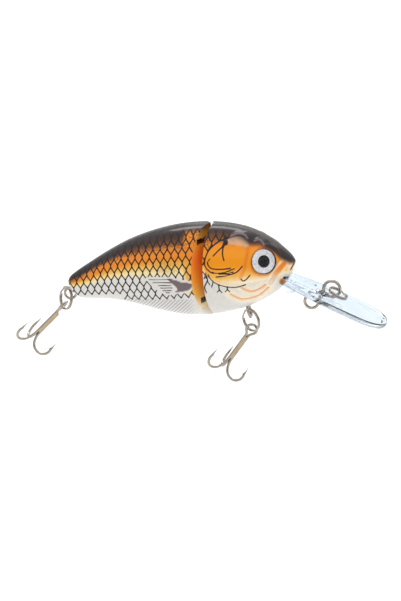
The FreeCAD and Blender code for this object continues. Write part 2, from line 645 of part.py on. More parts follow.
def hook_braze(double, single):
    """Braze metal that fills between the three shanks."""
    core = Part.makeCylinder(BRAZE_RADIUS, BRAZE_BOTTOM - BRAZE_TOP, Vector(0, 0, -BRAZE_BOTTOM))
    return core.cut(fuse(double, single))


def placed(shape, eye_centre, lean, roll):
    """Turn a hook by roll about its shank, lean its points towards the tail and put its eye in place."""
    moved = shape.copy()
    moved.rotate(Vector(0, 0, 0), Vector(0, 0, 1), roll)
    moved.rotate(Vector(0, 0, 0), Vector(0, 1, 0), lean)
    moved.translate(eye_centre)
    return moved


# ---------------------------------------------------------------- where the loose pieces hang at rest
TIE_RING_PIVOT = Vector(-0.7, 0, 0.15)
TIE_RING_DROP = math.radians(31)
TIE_RING_DIR = Vector(math.cos(TIE_RING_DROP), 0, -math.sin(TIE_RING_DROP))
TIE_RING_ENDS = Vector(0.4, 1, 0)       # which way each ring's overlapping ends point
BELLY_RING_ENDS = Vector(-1, 0, 0.3)
TAIL_RING_ENDS = Vector(-1, 0, 0.6)
BELLY_RING_CENTRE = Vector(-26.55, 0, -9.95)
BELLY_RING_NORMAL = Vector(-0.62, -0.78, -0.05)
BELLY_HOOK_EYE = Vector(-26.7, 0.6, -13.2)
BELLY_HOOK_LEAN = 38
BELLY_HOOK_ROLL = 8
TAIL_RING_CENTRE = Vector(-86.5, 1.6, -1.95)
TAIL_RING_NORMAL = Vector(-0.761, -0.609, 0.2245)
TAIL_HOOK_EYE = Vector(-87.75, 2.45, -5.0)
TAIL_HOOK_LEAN = 46.7
TAIL_HOOK_ROLL = -105


def build():
    """Every node of the lure, by name."""
    outer = body_loft(0, len(BODY_STATIONS) - 1)
    nodes = {}
    nodes["head_shell_right"], nodes["head_shell_left"] = halves(head_solid(outer))
    nodes["tail_shell_right"], nodes["tail_shell_left"] = halves(tail_solid(outer))
    nodes["diving_bill"] = diving_bill()
    nodes["line_tie_wire"] = line_tie()
    nodes["line_tie_split_ring"] = split_ring(
        TIE_RING_PIVOT + TIE_RING_DIR * TIE_RING_RADIUS, TIE_RING_RADIUS,
        TIE_RING_DIR.cross(Vector(0, 1, 0)), TIE_RING_ENDS)
    for name, height in HINGE_EYE_HEIGHTS.items():
        nodes[name] = hinge_eye(height)
    nodes["hinge_pin"] = hinge_pin()
    nodes["belly_hook_hanger"] = belly_hanger()
    nodes["tail_hook_hanger"] = tail_hanger()
    nodes["belly_split_ring"] = split_ring(BELLY_RING_CENTRE, HOOK_RING_RADIUS,
                                           BELLY_RING_NORMAL, BELLY_RING_ENDS)
    nodes["tail_split_ring"] = split_ring(TAIL_RING_CENTRE, HOOK_RING_RADIUS,
                                          TAIL_RING_NORMAL, TAIL_RING_ENDS)
    double = double_hook()
    single = single_hook()
    braze = hook_braze(double, single)
    for side, eye, lean, roll in (("belly", BELLY_HOOK_EYE, BELLY_HOOK_LEAN, BELLY_HOOK_ROLL),
                                  ("tail", TAIL_HOOK_EYE, TAIL_HOOK_LEAN, TAIL_HOOK_ROLL)):
        nodes[side + "_double_hook"] = placed(double, eye, lean, roll)
        nodes[side + "_single_hook"] = placed(single, eye, lean, roll)
        nodes[side + "_hook_braze"] = placed(braze, eye, lean, roll)
    for side in EYE_FRAMES:
        nodes[side + "_eye_foil"] = eye_foil(side)
        nodes[side + "_eye_lens"] = eye_lens(side)
    nodes["head_ballast"] = cylinder_x(BALLAST_CENTRE, BALLAST_RADIUS, BALLAST_LENGTH)
    nodes["head_rattle_ball"] = Part.makeSphere(RATTLE_RADIUS, HEAD_RATTLE_CENTRE)
    nodes["tail_rattle_ball"] = Part.makeSphere(RATTLE_RADIUS, TAIL_RATTLE_CENTRE)
    return nodes


NODES = build()
for node_name, node_shape in NODES.items():
    node_shape.exportStep("parts/" + node_name + ".step")
    print(node_name, "solids", len(node_shape.Solids), "valid", node_shape.isValid(),
          "volume", round(node_shape.Volume, 2))
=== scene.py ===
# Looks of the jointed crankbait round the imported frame: painted skins, clear bill, foil eyes, nickel wire.
# Sizes are millimetres in the frame's axes: +X is the nose, +Y the fish's left, +Z up. MM makes them metres.
import math

import bmesh
import bpy
import numpy as np
from mathutils import Matrix, Vector


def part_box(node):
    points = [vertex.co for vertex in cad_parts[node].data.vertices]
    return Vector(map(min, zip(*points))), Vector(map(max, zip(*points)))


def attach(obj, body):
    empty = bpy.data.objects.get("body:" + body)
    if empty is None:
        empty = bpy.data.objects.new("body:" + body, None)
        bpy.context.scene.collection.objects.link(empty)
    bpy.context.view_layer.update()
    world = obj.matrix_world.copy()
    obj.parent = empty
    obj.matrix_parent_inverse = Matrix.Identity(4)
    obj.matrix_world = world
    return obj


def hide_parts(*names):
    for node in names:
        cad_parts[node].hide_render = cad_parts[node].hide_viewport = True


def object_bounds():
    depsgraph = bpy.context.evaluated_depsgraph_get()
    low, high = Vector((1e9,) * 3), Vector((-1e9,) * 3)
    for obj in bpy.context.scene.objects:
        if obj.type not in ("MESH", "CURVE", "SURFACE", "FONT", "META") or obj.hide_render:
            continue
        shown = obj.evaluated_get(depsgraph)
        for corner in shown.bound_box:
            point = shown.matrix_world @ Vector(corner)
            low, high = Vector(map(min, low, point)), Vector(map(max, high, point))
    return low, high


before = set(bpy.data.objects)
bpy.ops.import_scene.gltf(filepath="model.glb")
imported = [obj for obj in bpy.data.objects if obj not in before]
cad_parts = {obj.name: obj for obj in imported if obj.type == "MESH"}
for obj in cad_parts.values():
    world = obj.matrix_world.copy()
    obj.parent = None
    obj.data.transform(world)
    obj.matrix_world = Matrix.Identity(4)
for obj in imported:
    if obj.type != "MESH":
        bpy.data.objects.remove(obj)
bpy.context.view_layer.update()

MM = 0.001

# ---------------------------------------------------------------- camera and light
VIEW_YAW = math.radians(10.0)         # towards the nose from square on
VIEW_ELEVATION = math.radians(18.0)
VIEW_ROLL = math.radians(4.1)
CAMERA_DISTANCE = 1200.0
SENSOR_SIDE = 36.0
FRAME_HEIGHT = 190.8                  # what the picture's long side spans at the line tie
AIM_RIGHT = -41.7                     # the picture's centre from the line-tie eye, along the picture
AIM_UP = -3.65
KEY_POWER = 3.0                       # watts
BACK_POWER = 1.0
# How bright the room is where the camera stands, behind the object and overhead.
ROOM_FRONT = 1.0
ROOM_REAR = 0.95
ROOM_ABOVE = 0.1
ROOM_SCREEN = 0.75                    # how much a dark screen low in front takes off
FLOOR_DROP = 0.13                    # metres from the object's lowest point, as it hangs, to the floor

# ---------------------------------------------------------------- body form
# Tail to nose: top x, top z, bottom x, bottom z, half width, height share of the widest point.
BODY_STATIONS = np.array([
    (-84.9, 4.7, -84.5, 1.9, 1.1, 0.50),
    (-84.1, 6.0, -83.2, 0.2, 2.2, 0.50),
    (-81.6, 7.9, -81.0, -1.2, 3.1, 0.50),
    (-77.0, 10.8, -77.0, -1.5, 4.3, 0.50),
    (-71.0, 14.4, -71.0, -1.75, 5.8, 0.50),
    (-64.0, 17.9, -64.0, -3.0, 7.4, 0.50),
    (-56.0, 20.7, -56.0, -5.3, 8.9, 0.50),
    (-48.0, 22.45, -48.0, -7.0, 9.9, 0.50),
    (-40.0, 23.05, -40.0, -7.35, 10.2, 0.50),
    (-32.0, 22.5, -32.0, -6.2, 9.9, 0.50),
    (-25.0, 20.75, -25.4, -4.3, 8.9, 0.50),
    (-19.3, 17.85, -20.8, -2.1, 7.5, 0.50),
    (-14.9, 14.4, -17.3, 0.0, 5.8, 0.49),
    (-12.2, 11.7, -15.2, 1.9, 4.3, 0.47),
    (-11.2, 10.2, -14.4, 3.3, 2.8, 0.45),
])
LAST_STATION = len(BODY_STATIONS) - 1
SECTION_POWER = 2.15
HEAD_REAR_X = -36.3
HEAD_REAR_SLOPE = -0.32               # the V opens backwards from the middle
TAIL_FRONT_X = -37.4
TAIL_FRONT_SLOPE = -0.575
EDGE_ROUND = 0.35
SKIN_STEP = 0.24                      # spacing of the skin's mesh lines
NOSE_BULGE = 0.9
NOSE_RINGS = 7
WALL_ROWS = 10
HINGE_SLOT_HEIGHTS = (18.3, -1.0)
HINGE_SLOT_HEIGHT = 1.8
HINGE_SLOT_HALF_WIDTH = 6.6
HINGE_SLOT_REAR_X = -43.4
HINGE_SLOT_FRONT_X = -30.0            # beyond the tail's front faces
SKIN_GIRTH = 33.0                     # longest way round one half of the skin
NOSE_DIRECTION = (0.9, 0.0, -0.45)    # the way the nose cap bulges
JOINT_FOOT_DEPTH = 7.4                # the joint's lowest point is this far under the line tie
JOINT_HEIGHT = 30.4
JOINT_FACE_MARGIN = 0.03              # how near the joint's plane a face is to be one of its faces
EYE_SOCKET_CLEARANCE = 0.06
EYE_SOCKET_DEPTH = 0.3
EYE_SOCKET_REACH = 5.0                # how far the socket's cutter stands out of the head


def station_values(t):
    """Columns of BODY_STATIONS at every t, by a cubic with slopes from each row's neighbours."""
    k = np.clip(np.floor(t).astype(int), 0, LAST_STATION - 1)
    f = (t - k)[..., None]
    before = BODY_STATIONS[np.maximum(k - 1, 0)]
    here = BODY_STATIONS[k]
    there = BODY_STATIONS[k + 1]
    after = BODY_STATIONS[np.minimum(k + 2, LAST_STATION)]
    slope_here = (there - before) / np.where(k > 0, 2, 1)[..., None]
    slope_there = (after - here) / np.where(k + 2 <= LAST_STATION, 2, 1)[..., None]
    values = (2 * f ** 3 - 3 * f ** 2 + 1) * here + (f ** 3 - 2 * f ** 2 + f) * slope_here
    values += (3 * f ** 2 - 2 * f ** 3) * there + (f ** 3 - f ** 2) * slope_there
    return [values[..., column] for column in range(6)]


def skin_points(t, angle):
    """Points of the left skin at stations t; angle 0 is the back and pi the belly."""
    top_x, top_z, bottom_x, bottom_z, half_width, share = station_values(t)
    up = np.cos(angle)
    out = np.sin(angle)
    rise = np.copysign(np.abs(up) ** (2 / SECTION_POWER), up)
    spread = np.abs(out) ** (2 / SECTION_POWER)
    middle_x = bottom_x + (top_x - bottom_x) * share
    middle_z = bottom_z + (top_z - bottom_z) * share
    reach_x = np.where(up >= 0, top_x - middle_x, middle_x - bottom_x)
    reach_z = np.where(up >= 0, top_z - middle_z, middle_z - bottom_z)
    return np.stack([middle_x + reach_x * rise, half_width * spread, middle_z + reach_z * rise], axis=-1)


FINE_T = np.linspace(0, LAST_STATION, 1401)
FINE_TOP_X, FINE_TOP_Z, FINE_BOTTOM_X, FINE_BOTTOM_Z, _, _ = station_values(FINE_T)
FINE_MIDDLE_X = (FINE_TOP_X + FINE_BOTTOM_X) / 2


def back_height(x):
    return np.interp(x, FINE_TOP_X, FINE_TOP_Z)


def belly_height(x):
    return np.interp(x, FINE_BOTTOM_X, FINE_BOTTOM_Z)


# ---------------------------------------------------------------- bill form
BILL_ROOT = np.array([-13.5, 0.0, 3.4])
BILL_SLOPE = math.radians(26.9)
BILL_ALONG = np.array([math.cos(BILL_SLOPE), 0.0, -math.sin(BILL_SLOPE)])
BILL_UP = np.array([math.sin(BILL_SLOPE), 0.0, math.cos(BILL_SLOPE)])
BILL_START = -2.4                     # inside the head
BILL_LENGTH = 34.1
BILL_HALF_THICKNESS = 0.85
BILL_ROOT_HALF_WIDTH = 5.7
BILL_STEM_LENGTH = 9.4
BILL_STEM_HALF_WIDTH = 7.3
BILL_HALF_WIDTH = 8.2
BILL_SHOULDER_LENGTH = 8.0
BILL_TIP_LENGTH = 9.5
BILL_TIP_POWER = 2.3
BILL_EDGE_ROUND = 0.4
BILL_RIM = 1.2
BILL_DISH_DEPTH = 0.42
BILL_DISH_START = 10.4
BILL_DISH_CORNER = 4.6
BILL_STEP = 0.25                      # spacing of the bill's mesh lines
BILL_RIB_OFFSETS = (-3.1, 3.1)
BILL_RIB_HEIGHT = 0.5
BILL_RIB_HALF_WIDTHS = (0.3, 0.55)    # of its top and of its foot
BILL_BOSS_WALL = 0.3
BILL_DISH_WALL = 1.3                  # how gently the dish's wall falls
BILL_BOSS_RADIUS = 2.3
BILL_BOSS_HEIGHT = 0.7
BILL_BOSS_BEFORE_EYE = 2.1
BILL_KEEL_HALF_THICKNESS = 0.7
BILL_KEEL_DEPTH = 3.4
BILL_KEEL_REACH = (-1.0, 1.2, 7.2)


def on_bill(along, across, up):
    """Points of the bill from its root: along the blade, across it and square to it."""
    along, across, up = np.broadcast_arrays(along, across, up)
    return (BILL_ROOT + along[..., None] * BILL_ALONG + across[..., None] * np.array([0.0, 1.0, 0.0])
            + up[..., None] * BILL_UP)


def bill_half_width(u):
    """Half the blade's width at u from the root, outside the rounded tip."""
    stem = BILL_ROOT_HALF_WIDTH + (BILL_STEM_HALF_WIDTH - BILL_ROOT_HALF_WIDTH) * u / BILL_STEM_LENGTH
    share = np.clip((u - BILL_STEM_LENGTH) / BILL_SHOULDER_LENGTH, 0, 1)
    blade = BILL_STEM_HALF_WIDTH + (BILL_HALF_WIDTH - BILL_STEM_HALF_WIDTH) * np.sin(share * math.pi / 2)
    return np.where(u < BILL_STEM_LENGTH, stem, blade)


# ---------------------------------------------------------------- lines drawn on the side, as (x, z)
def smooth_line(points, closed=False, steps=8):
    """A rounded line through the points."""
    pts = np.array(points, float)
    if closed:
        pts = np.vstack([pts[-1], pts, pts[0], pts[1]])
    else:
        pts = np.vstack([2 * pts[0] - pts[1], pts, 2 * pts[-1] - pts[-2]])
    f = np.linspace(0, 1, steps, endpoint=False)[:, None]
    parts = []
    for a, b, c, d in zip(pts, pts[1:], pts[2:], pts[3:]):
        parts.append(0.5 * (2 * b + (c - a) * f + (2 * a - 5 * b + 4 * c - d) * f ** 2
                            + (3 * b - a - 3 * c + d) * f ** 3))
    parts.append(pts[-2][None])
    return np.vstack(parts)


def distance_to_line(x, z, line):
    """Distance in the side view from each point to a polyline."""
    best = np.full(x.shape, 1e3)
    for (ax, az), (bx, bz) in zip(line, line[1:]):
        dx = bx - ax
        dz = bz - az
        share = np.clip(((x - ax) * dx + (z - az) * dz) / (dx * dx + dz * dz + 1e-12), 0, 1)
        best = np.minimum(best, np.hypot(x - ax - share * dx, z - az - share * dz))
    return best


def inside_line(x, z, line):
    """Whether each point is inside a closed polyline."""
    inside = np.zeros(x.shape, bool)
    for (ax, az), (bx, bz) in zip(line, line[1:]):
        crosses = (az > z) != (bz > z)
        at = ax + (z - az) * (bx - ax) / (bz - az + 1e-12)
        inside ^= crosses & (x < at)
    return inside


def signed_distance(x, z, line):
    distance = distance_to_line(x, z, line)
    return np.where(inside_line(x, z, line), -distance, distance)


def smooth_step(value, low, high):
    f = np.clip((value - low) / (high - low), 0, 1)
    return f * f * (3 - 2 * f)


# Black pen lines of the head: half width, then the line's points.
HEAD_INK = [
    (0.24, [(-31.6, 19.2), (-33.8, 18.9), (-36.9, 16.7), (-38.4, 13.8), (-38.5, 11.6), (-36.9, 9.7),
            (-35.8, 9.3)]),
    (0.75, [(-31.9, 19.3), (-31.8, 18.4)]),
    (0.42, [(-31.9, 19.0), (-32.7, 17.2)]),
    (0.24, [(-32.6, 17.4), (-32.8, 15.2), (-32.4, 13.2)]),
    (0.22, [(-32.8, 17.3), (-34.2, 16.2), (-35.8, 14.7)]),
    (0.18, [(-36.8, 13.9), (-37.4, 13.2)]),
    (0.24, [(-37.7, 12.8), (-37.3, 11.6), (-36.0, 10.7), (-33.0, 10.5), (-30.4, 10.7)]),
    (0.20, [(-36.2, 9.6), (-34.8, 9.2), (-32.1, 9.5), (-29.2, 10.5)]),
    (0.22, [(-35.2, 8.0), (-32.1, 8.3), (-28.8, 9.2), (-26.7, 11.1)]),
    (0.18, [(-34.2, 8.9), (-31.6, 9.0), (-29.6, 9.5)]),
    (0.24, [(-37.6, 8.8), (-37.1, 7.4), (-35.4, 5.8), (-32.4, 4.6), (-29.2, 4.2), (-26.2, 4.8)]),
    (0.22, [(-38.2, 8.6), (-38.1, 6.8), (-39.1, 4.6), (-38.7, 2.6)]),
    (0.20, [(-38.1, 6.8), (-37.4, 5.3)]),
    (0.20, [(-36.4, 5.9), (-36.9, 4.5)]),
    (0.22, [(-34.6, 5.1), (-34.5, 3.5), (-33.8, 2.5)]),
    (0.18, [(-34.5, 3.5), (-35.3, 2.7)]),
    (0.22, [(-32.0, 4.4), (-31.9, 3.5), (-31.3, 2.7)]),
    (0.18, [(-31.9, 3.5), (-32.8, 2.7)]),
    (0.22, [(-27.4, 6.9), (-26.8, 6.2), (-25.8, 6.6), (-24.6, 7.9)]),
    (0.20, [(-11.3, 9.3), (-11.8, 8.6), (-12.4, 7.6)]),
    # Painted shadow: a dark dot in the gap where the bill meets the head.
    (0.48, [(-14.3, 5.5), (-13.7, 5.0)]),
]
FAN_PEN = (0.19, 0.25)                # half widths of the pen lines that are also pressed into the mould
FAN_CORNER = (-34, 10)                # they start behind and below this point
FAN_LINES = [line for width, line in HEAD_INK
             if FAN_PEN[0] < width < FAN_PEN[1] and line[0][0] < FAN_CORNER[0] and line[0][1] < FAN_CORNER[1]]
GILL_COVER = [(-31.2, 19.2), (-33.8, 18.9), (-36.9, 16.7), (-38.4, 13.8), (-38.5, 11.0), (-37.7, 8.2),
              (-35.4, 5.8), (-32.4, 4.6), (-29.2, 4.2), (-27.4, 6.0), (-26.3, 10.5), (-25.0, 16.0),
              (-27.6, 17.2)]
CHEEK_EDGE = [(-24.9, 16.2), (-25.2, 14.0), (-25.9, 12.0), (-26.5, 9.8), (-27.6, 7.2)]
CHEEK_PATCH = [(-32.0, 18.3), (-30.9, 19.5), (-28.2, 19.9), (-25.9, 19.2), (-24.6, 17.8), (-24.8, 16.5),
               (-28.0, 17.2)]
# Raised crests of the head; a painted highlight runs along them too.
PATCH_CREST = [(-30.4, 20.1), (-28.2, 20.5), (-26.2, 20.0), (-25.1, 19.0)]
BROW_CREST = [(-23.0, 18.1), (-21.6, 18.2), (-20.6, 17.4), (-20.0, 16.5)]
UPPER_JAW = [(-18.5, 4.8), (-16.6, 7.4), (-14.3, 10.0)]
UPPER_JAW_RADIUS = 1.15
JAW_LINES = [
    [(-27.6, 4.1), (-26.0, 2.8), (-24.2, 2.3), (-22.0, 2.9), (-19.9, 4.3)],
    [(-31.1, 1.8), (-29.2, 0.4), (-27.0, -0.4), (-22.9, 0.3), (-19.3, 3.0)],
]
THROAT_LINE = [(-35.0, 6.8), (-32.0, 5.8), (-29.0, 5.5), (-27.6, 5.9)]
# Painted shade: a deeper orange patch in the gap where the bill meets the head.
BILL_GAP_SHADE = [(-15.0, 4.6), (-14.2, 3.4)]
OVERSPRAY_EDGE_X = -46.4              # where the joint's orange fades out on the tail's skin
EYE_CENTRE = (-20.0, 11.8)
EYE_RADIUS = 4.05
BLACK_EDGE = [(-85.0, 4.4), (-80.8, 6.5), (-76.6, 9.5), (-72.5, 11.9), (-68.3, 14.0), (-62.7, 16.8),
              (-58.7, 18.6), (-54.2, 20.0), (-48.0, 21.2), (-43.0, 21.7), (-36.0, 21.6), (-32.1, 21.1),
              (-27.5, 19.7), (-24.2, 17.6), (-22.9, 17.4), (-21.4, 17.6), (-20.0, 16.6), (-17.1, 14.1),
              (-14.3, 11.3), (-11.0, 9.2)]

# The printed fin on the tail section's side.
FIN_ROOT = [(-50.9, 7.4), (-48.6, 7.2), (-46.4, 6.4), (-44.4, 6.2), (-43.0, 5.6), (-43.6, 4.2), (-45.2, 3.4),
            (-48.8, 2.9), (-48.0, 3.8), (-48.4, 4.8), (-49.6, 6.0)]
FIN_RAYS = [
    [(-57.1, 7.1), (-49.8, 7.2)],
    [(-55.8, 6.1), (-49.8, 6.2)],
    [(-54.1, 5.1), (-49.8, 5.3)],
    [(-53.4, 4.3), (-49.6, 4.4)],
    [(-52.8, 3.4), (-50.0, 3.5)],
    [(-51.8, 2.7), (-50.6, 2.7)],
]
FIN_RAY_HALF_WIDTH = 0.19
FIN_CLEARING = [(-57.8, 7.6), (-52.0, 8.0), (-47.5, 7.5), (-43.4, 6.4), (-43.6, 3.2), (-48.0, 2.4),
                (-51.6, 1.9), (-54.6, 3.4), (-57.0, 5.6)]

# Fish scales: a staggered net, counted from one scale's centre.
SCALE_ORIGIN = (-45.8, 15.1)
SCALE_WIDTH = 2.39
SCALE_ROW = 2.42
SCALE_RISE = 0.085                    # rows climb towards the nose
SCALE_ROUNDNESS = 0.2                 # 0 for even waves, 1 for round arcs open towards the nose
SCALE_LINE_HALF_WIDTH = 0.21
LOWEST_ROW = -5
LOWEST_ROW_AT_TAIL = -4
LOW_ROW_END_X = -66.5
MOTTLED_PATCH = (-51.0, 10.8)         # where the gold foil is broken by brown spots
HATCH_WAVES_PER_MM = 0.8             # slanting lines pressed in the rear belly's foil


# How far the mould stands out or sinks in, by feature.
SCALE_GROOVE_DEPTH = 0.06
FIN_HEIGHT = 0.08
FIN_RAY_DEPTH = 0.07
GILL_COVER_HEIGHT = 0.24
CHEEK_PATCH_HEIGHT = 0.28
CREST_HEIGHTS = ((PATCH_CREST, 0.22), (BROW_CREST, 0.3))
CHEEK_EDGE_DEPTH = 0.22
EYE_RING_HEIGHT = 0.32
JAW_RIM_HEIGHT = 0.34
JAW_HOLLOW_DEPTH = 0.12
JAW_LINE_DEPTH = 0.2
JAW_LINE_BANK = 0.12
FAN_LINE_DEPTH = 0.12


def scale_reach(away):
    """How far a scale's rounded rear edge reaches from its centre, in widths, by rows away from it."""
    wave = 0.25 * (1 + np.cos(math.pi * away))
    arch = 0.5 * np.cos(math.pi / 2 * away)
    return wave + SCALE_ROUNDNESS * (arch - wave)


def scale_edge_distance(x, z):
    """Distance to the nearest line of the scale net, which stops in points below its lowest row."""
    rows = (z - SCALE_ORIGIN[1] - SCALE_RISE * (x - SCALE_ORIGIN[0])) / SCALE_ROW
    across = (x - SCALE_ORIGIN[0]) / SCALE_WIDTH
    row_below = np.floor(rows)
    distance = np.full(x.shape, 1e3)
    for row, away in ((row_below, rows - row_below), (row_below + 1, row_below + 1 - rows)):
        edge = across - (row % 2) / 2 + scale_reach(away)
        aside = np.abs((edge + 0.5) % 1.0 - 0.5) * SCALE_WIDTH
        lean = (scale_reach(away + 0.01) - scale_reach(away - 0.01)) / 0.02 * SCALE_WIDTH / SCALE_ROW
        distance = np.minimum(distance, aside / np.hypot(1, lean))
    lowest = np.where(x < LOW_ROW_END_X, LOWEST_ROW_AT_TAIL, LOWEST_ROW)
    below = (lowest - 1 - rows) * SCALE_ROW
    return np.maximum(distance, below + 0.3)


def ink_distance(x, z, section):
    """Distance beyond the edge of the nearest black line, negative on the line."""
    scales = scale_edge_distance(x, z) - SCALE_LINE_HALF_WIDTH
    if section == "tail":
        clearing = signed_distance(x, z, smooth_line(FIN_CLEARING, closed=True))
        ink = np.where(clearing < 0, np.maximum(scales, 0.05 - clearing), scales)
        for ray in FIN_RAYS:
            ink = np.minimum(ink, distance_to_line(x, z, np.array(ray)) - FIN_RAY_HALF_WIDTH)
        return ink
    cover = signed_distance(x, z, smooth_line(GILL_COVER, closed=True))
    hidden = np.maximum(-cover, np.maximum(x + 30.4, 7.4 - z))
    ink = np.maximum(scales, np.where(hidden > 0, hidden, -1.0))
    for half_width, points in HEAD_INK:
        ink = np.minimum(ink, distance_to_line(x, z, smooth_line(points)) - half_width)
    return ink


def near(distance, low, high):
    """1 on a line or inside a shape, falling to 0 as the distance goes from low to high."""
    return 1 - smooth_step(distance, low, high)


def relief(x, z, section):
    """How far the mould raises the skin at each point of the side view, in millimetres."""
    scales = scale_edge_distance(x, z)
    groove = -SCALE_GROOVE_DEPTH * near(scales, 0.05, 0.45)
    depth = back_height(x) - z
    groove = groove * smooth_step(depth, 1.0, 3.0)
    if section == "tail":
        clearing = signed_distance(x, z, smooth_line(FIN_CLEARING, closed=True))
        rays = np.min([distance_to_line(x, z, np.array(ray)) for ray in FIN_RAYS], axis=0)
        fin = FIN_HEIGHT * near(clearing, -0.4, 0.1) - FIN_RAY_DEPTH * near(rays, 0.05, 0.3)
        return np.where(clearing < 0.1, fin, groove)
    cover = signed_distance(x, z, smooth_line(GILL_COVER, closed=True))
    raised = np.where(cover > 0.1, groove * smooth_step(-x, 30.0, 31.0), 0.0)
    raised = raised + GILL_COVER_HEIGHT * near(cover, -0.55, 0.12)
    patch = signed_distance(x, z, smooth_line(CHEEK_PATCH, closed=True))
    raised = raised + CHEEK_PATCH_HEIGHT * near(patch, -0.6, 0.1)
    for crest, height in CREST_HEIGHTS:
        raised = raised + height * near(distance_to_line(x, z, smooth_line(crest)), 0.0, 0.75)
    raised = raised - CHEEK_EDGE_DEPTH * near(distance_to_line(x, z, smooth_line(CHEEK_EDGE)), 0.0, 0.8)
    eye = np.hypot(x - EYE_CENTRE[0], z - EYE_CENTRE[1]) - EYE_RADIUS
    raised = raised + EYE_RING_HEIGHT * np.exp(-((eye - 0.45) / 0.42) ** 2)
    jaw = distance_to_line(x, z, smooth_line(UPPER_JAW)) - UPPER_JAW_RADIUS
    raised = raised + JAW_RIM_HEIGHT * np.exp(-(jaw / 0.34) ** 2) - JAW_HOLLOW_DEPTH * near(jaw, -0.8, -0.2)
    for line in JAW_LINES + [THROAT_LINE]:
        distance = distance_to_line(x, z, smooth_line(line))
        raised = raised - JAW_LINE_DEPTH * np.exp(-(distance / 0.3) ** 2)
        raised = raised + JAW_LINE_BANK * np.exp(-((distance - 0.75) / 0.4) ** 2)
    for line in FAN_LINES:
        raised = raised - FAN_LINE_DEPTH * np.exp(-(distance_to_line(x, z, smooth_line(line)) / 0.22) ** 2)
    return raised


# ---------------------------------------------------------------- mesh building
def vertex_places(mesh):
    """Every vertex's place in millimetres."""
    place = np.empty(len(mesh.vertices) * 3, np.float32)
    mesh.vertices.foreach_get("co", place)
    return place.reshape(-1, 3).astype(float) / MM


def grid_faces(rows, columns, first=0):
    """Quads of a rows by columns sheet of vertices numbered from first."""
    a = (np.arange(rows - 1)[:, None] * columns + np.arange(columns - 1)[None] + first).ravel()
    return np.stack([a, a + 1, a + columns + 1, a + columns], axis=1)


def new_piece(name, points, faces, material, weld=0.002, sharp_angle=40.0):
    """A mesh object from points in millimetres, welded, with smooth faces and sharp edges."""
    mesh = bpy.data.meshes.new(name)
    mesh.from_pydata((np.asarray(points) * MM).tolist(), [], [list(map(int, face)) for face in faces])
    work = bmesh.new()
    work.from_mesh(mesh)
    if weld:
        bmesh.ops.remove_doubles(work, verts=work.verts, dist=weld * MM)
    bmesh.ops.dissolve_degenerate(work, edges=work.edges, dist=1e-7)
    bmesh.ops.recalc_face_normals(work, faces=work.faces)
    work.to_mesh(mesh)
    work.free()
    piece = bpy.data.objects.new(name, mesh)
    bpy.context.collection.objects.link(piece)
    if material is not None:
        mesh.materials.append(material)
    finish_shading(mesh, sharp_angle)
    return piece


def finish_shading(mesh, sharp_angle=40.0):
    mesh.polygons.foreach_set("use_smooth", np.ones(len(mesh.polygons), bool))
    mesh.set_sharp_from_angle(angle=math.radians(sharp_angle))


def merge(sheets):
    """One list of points and one of faces from several sheets of points."""
    points, faces, count = [], [], 0
    for sheet in sheets:
        rows, columns = sheet.shape[:2]
        points.append(sheet.reshape(-1, 3))
        faces.append(grid_faces(rows, columns, count))
        count += rows * columns
    return np.vstack(points), np.vstack(faces)


def grid_normals(sheet):
    """Unit normals of a sheet; which way they point follows the order of its rows and columns."""
    along = np.gradient(sheet, axis=0)
    around = np.gradient(sheet, axis=1)
    normal = np.cross(along, around)
    length = np.linalg.norm(normal, axis=-1, keepdims=True)
    return normal / np.maximum(length, 1e-9)


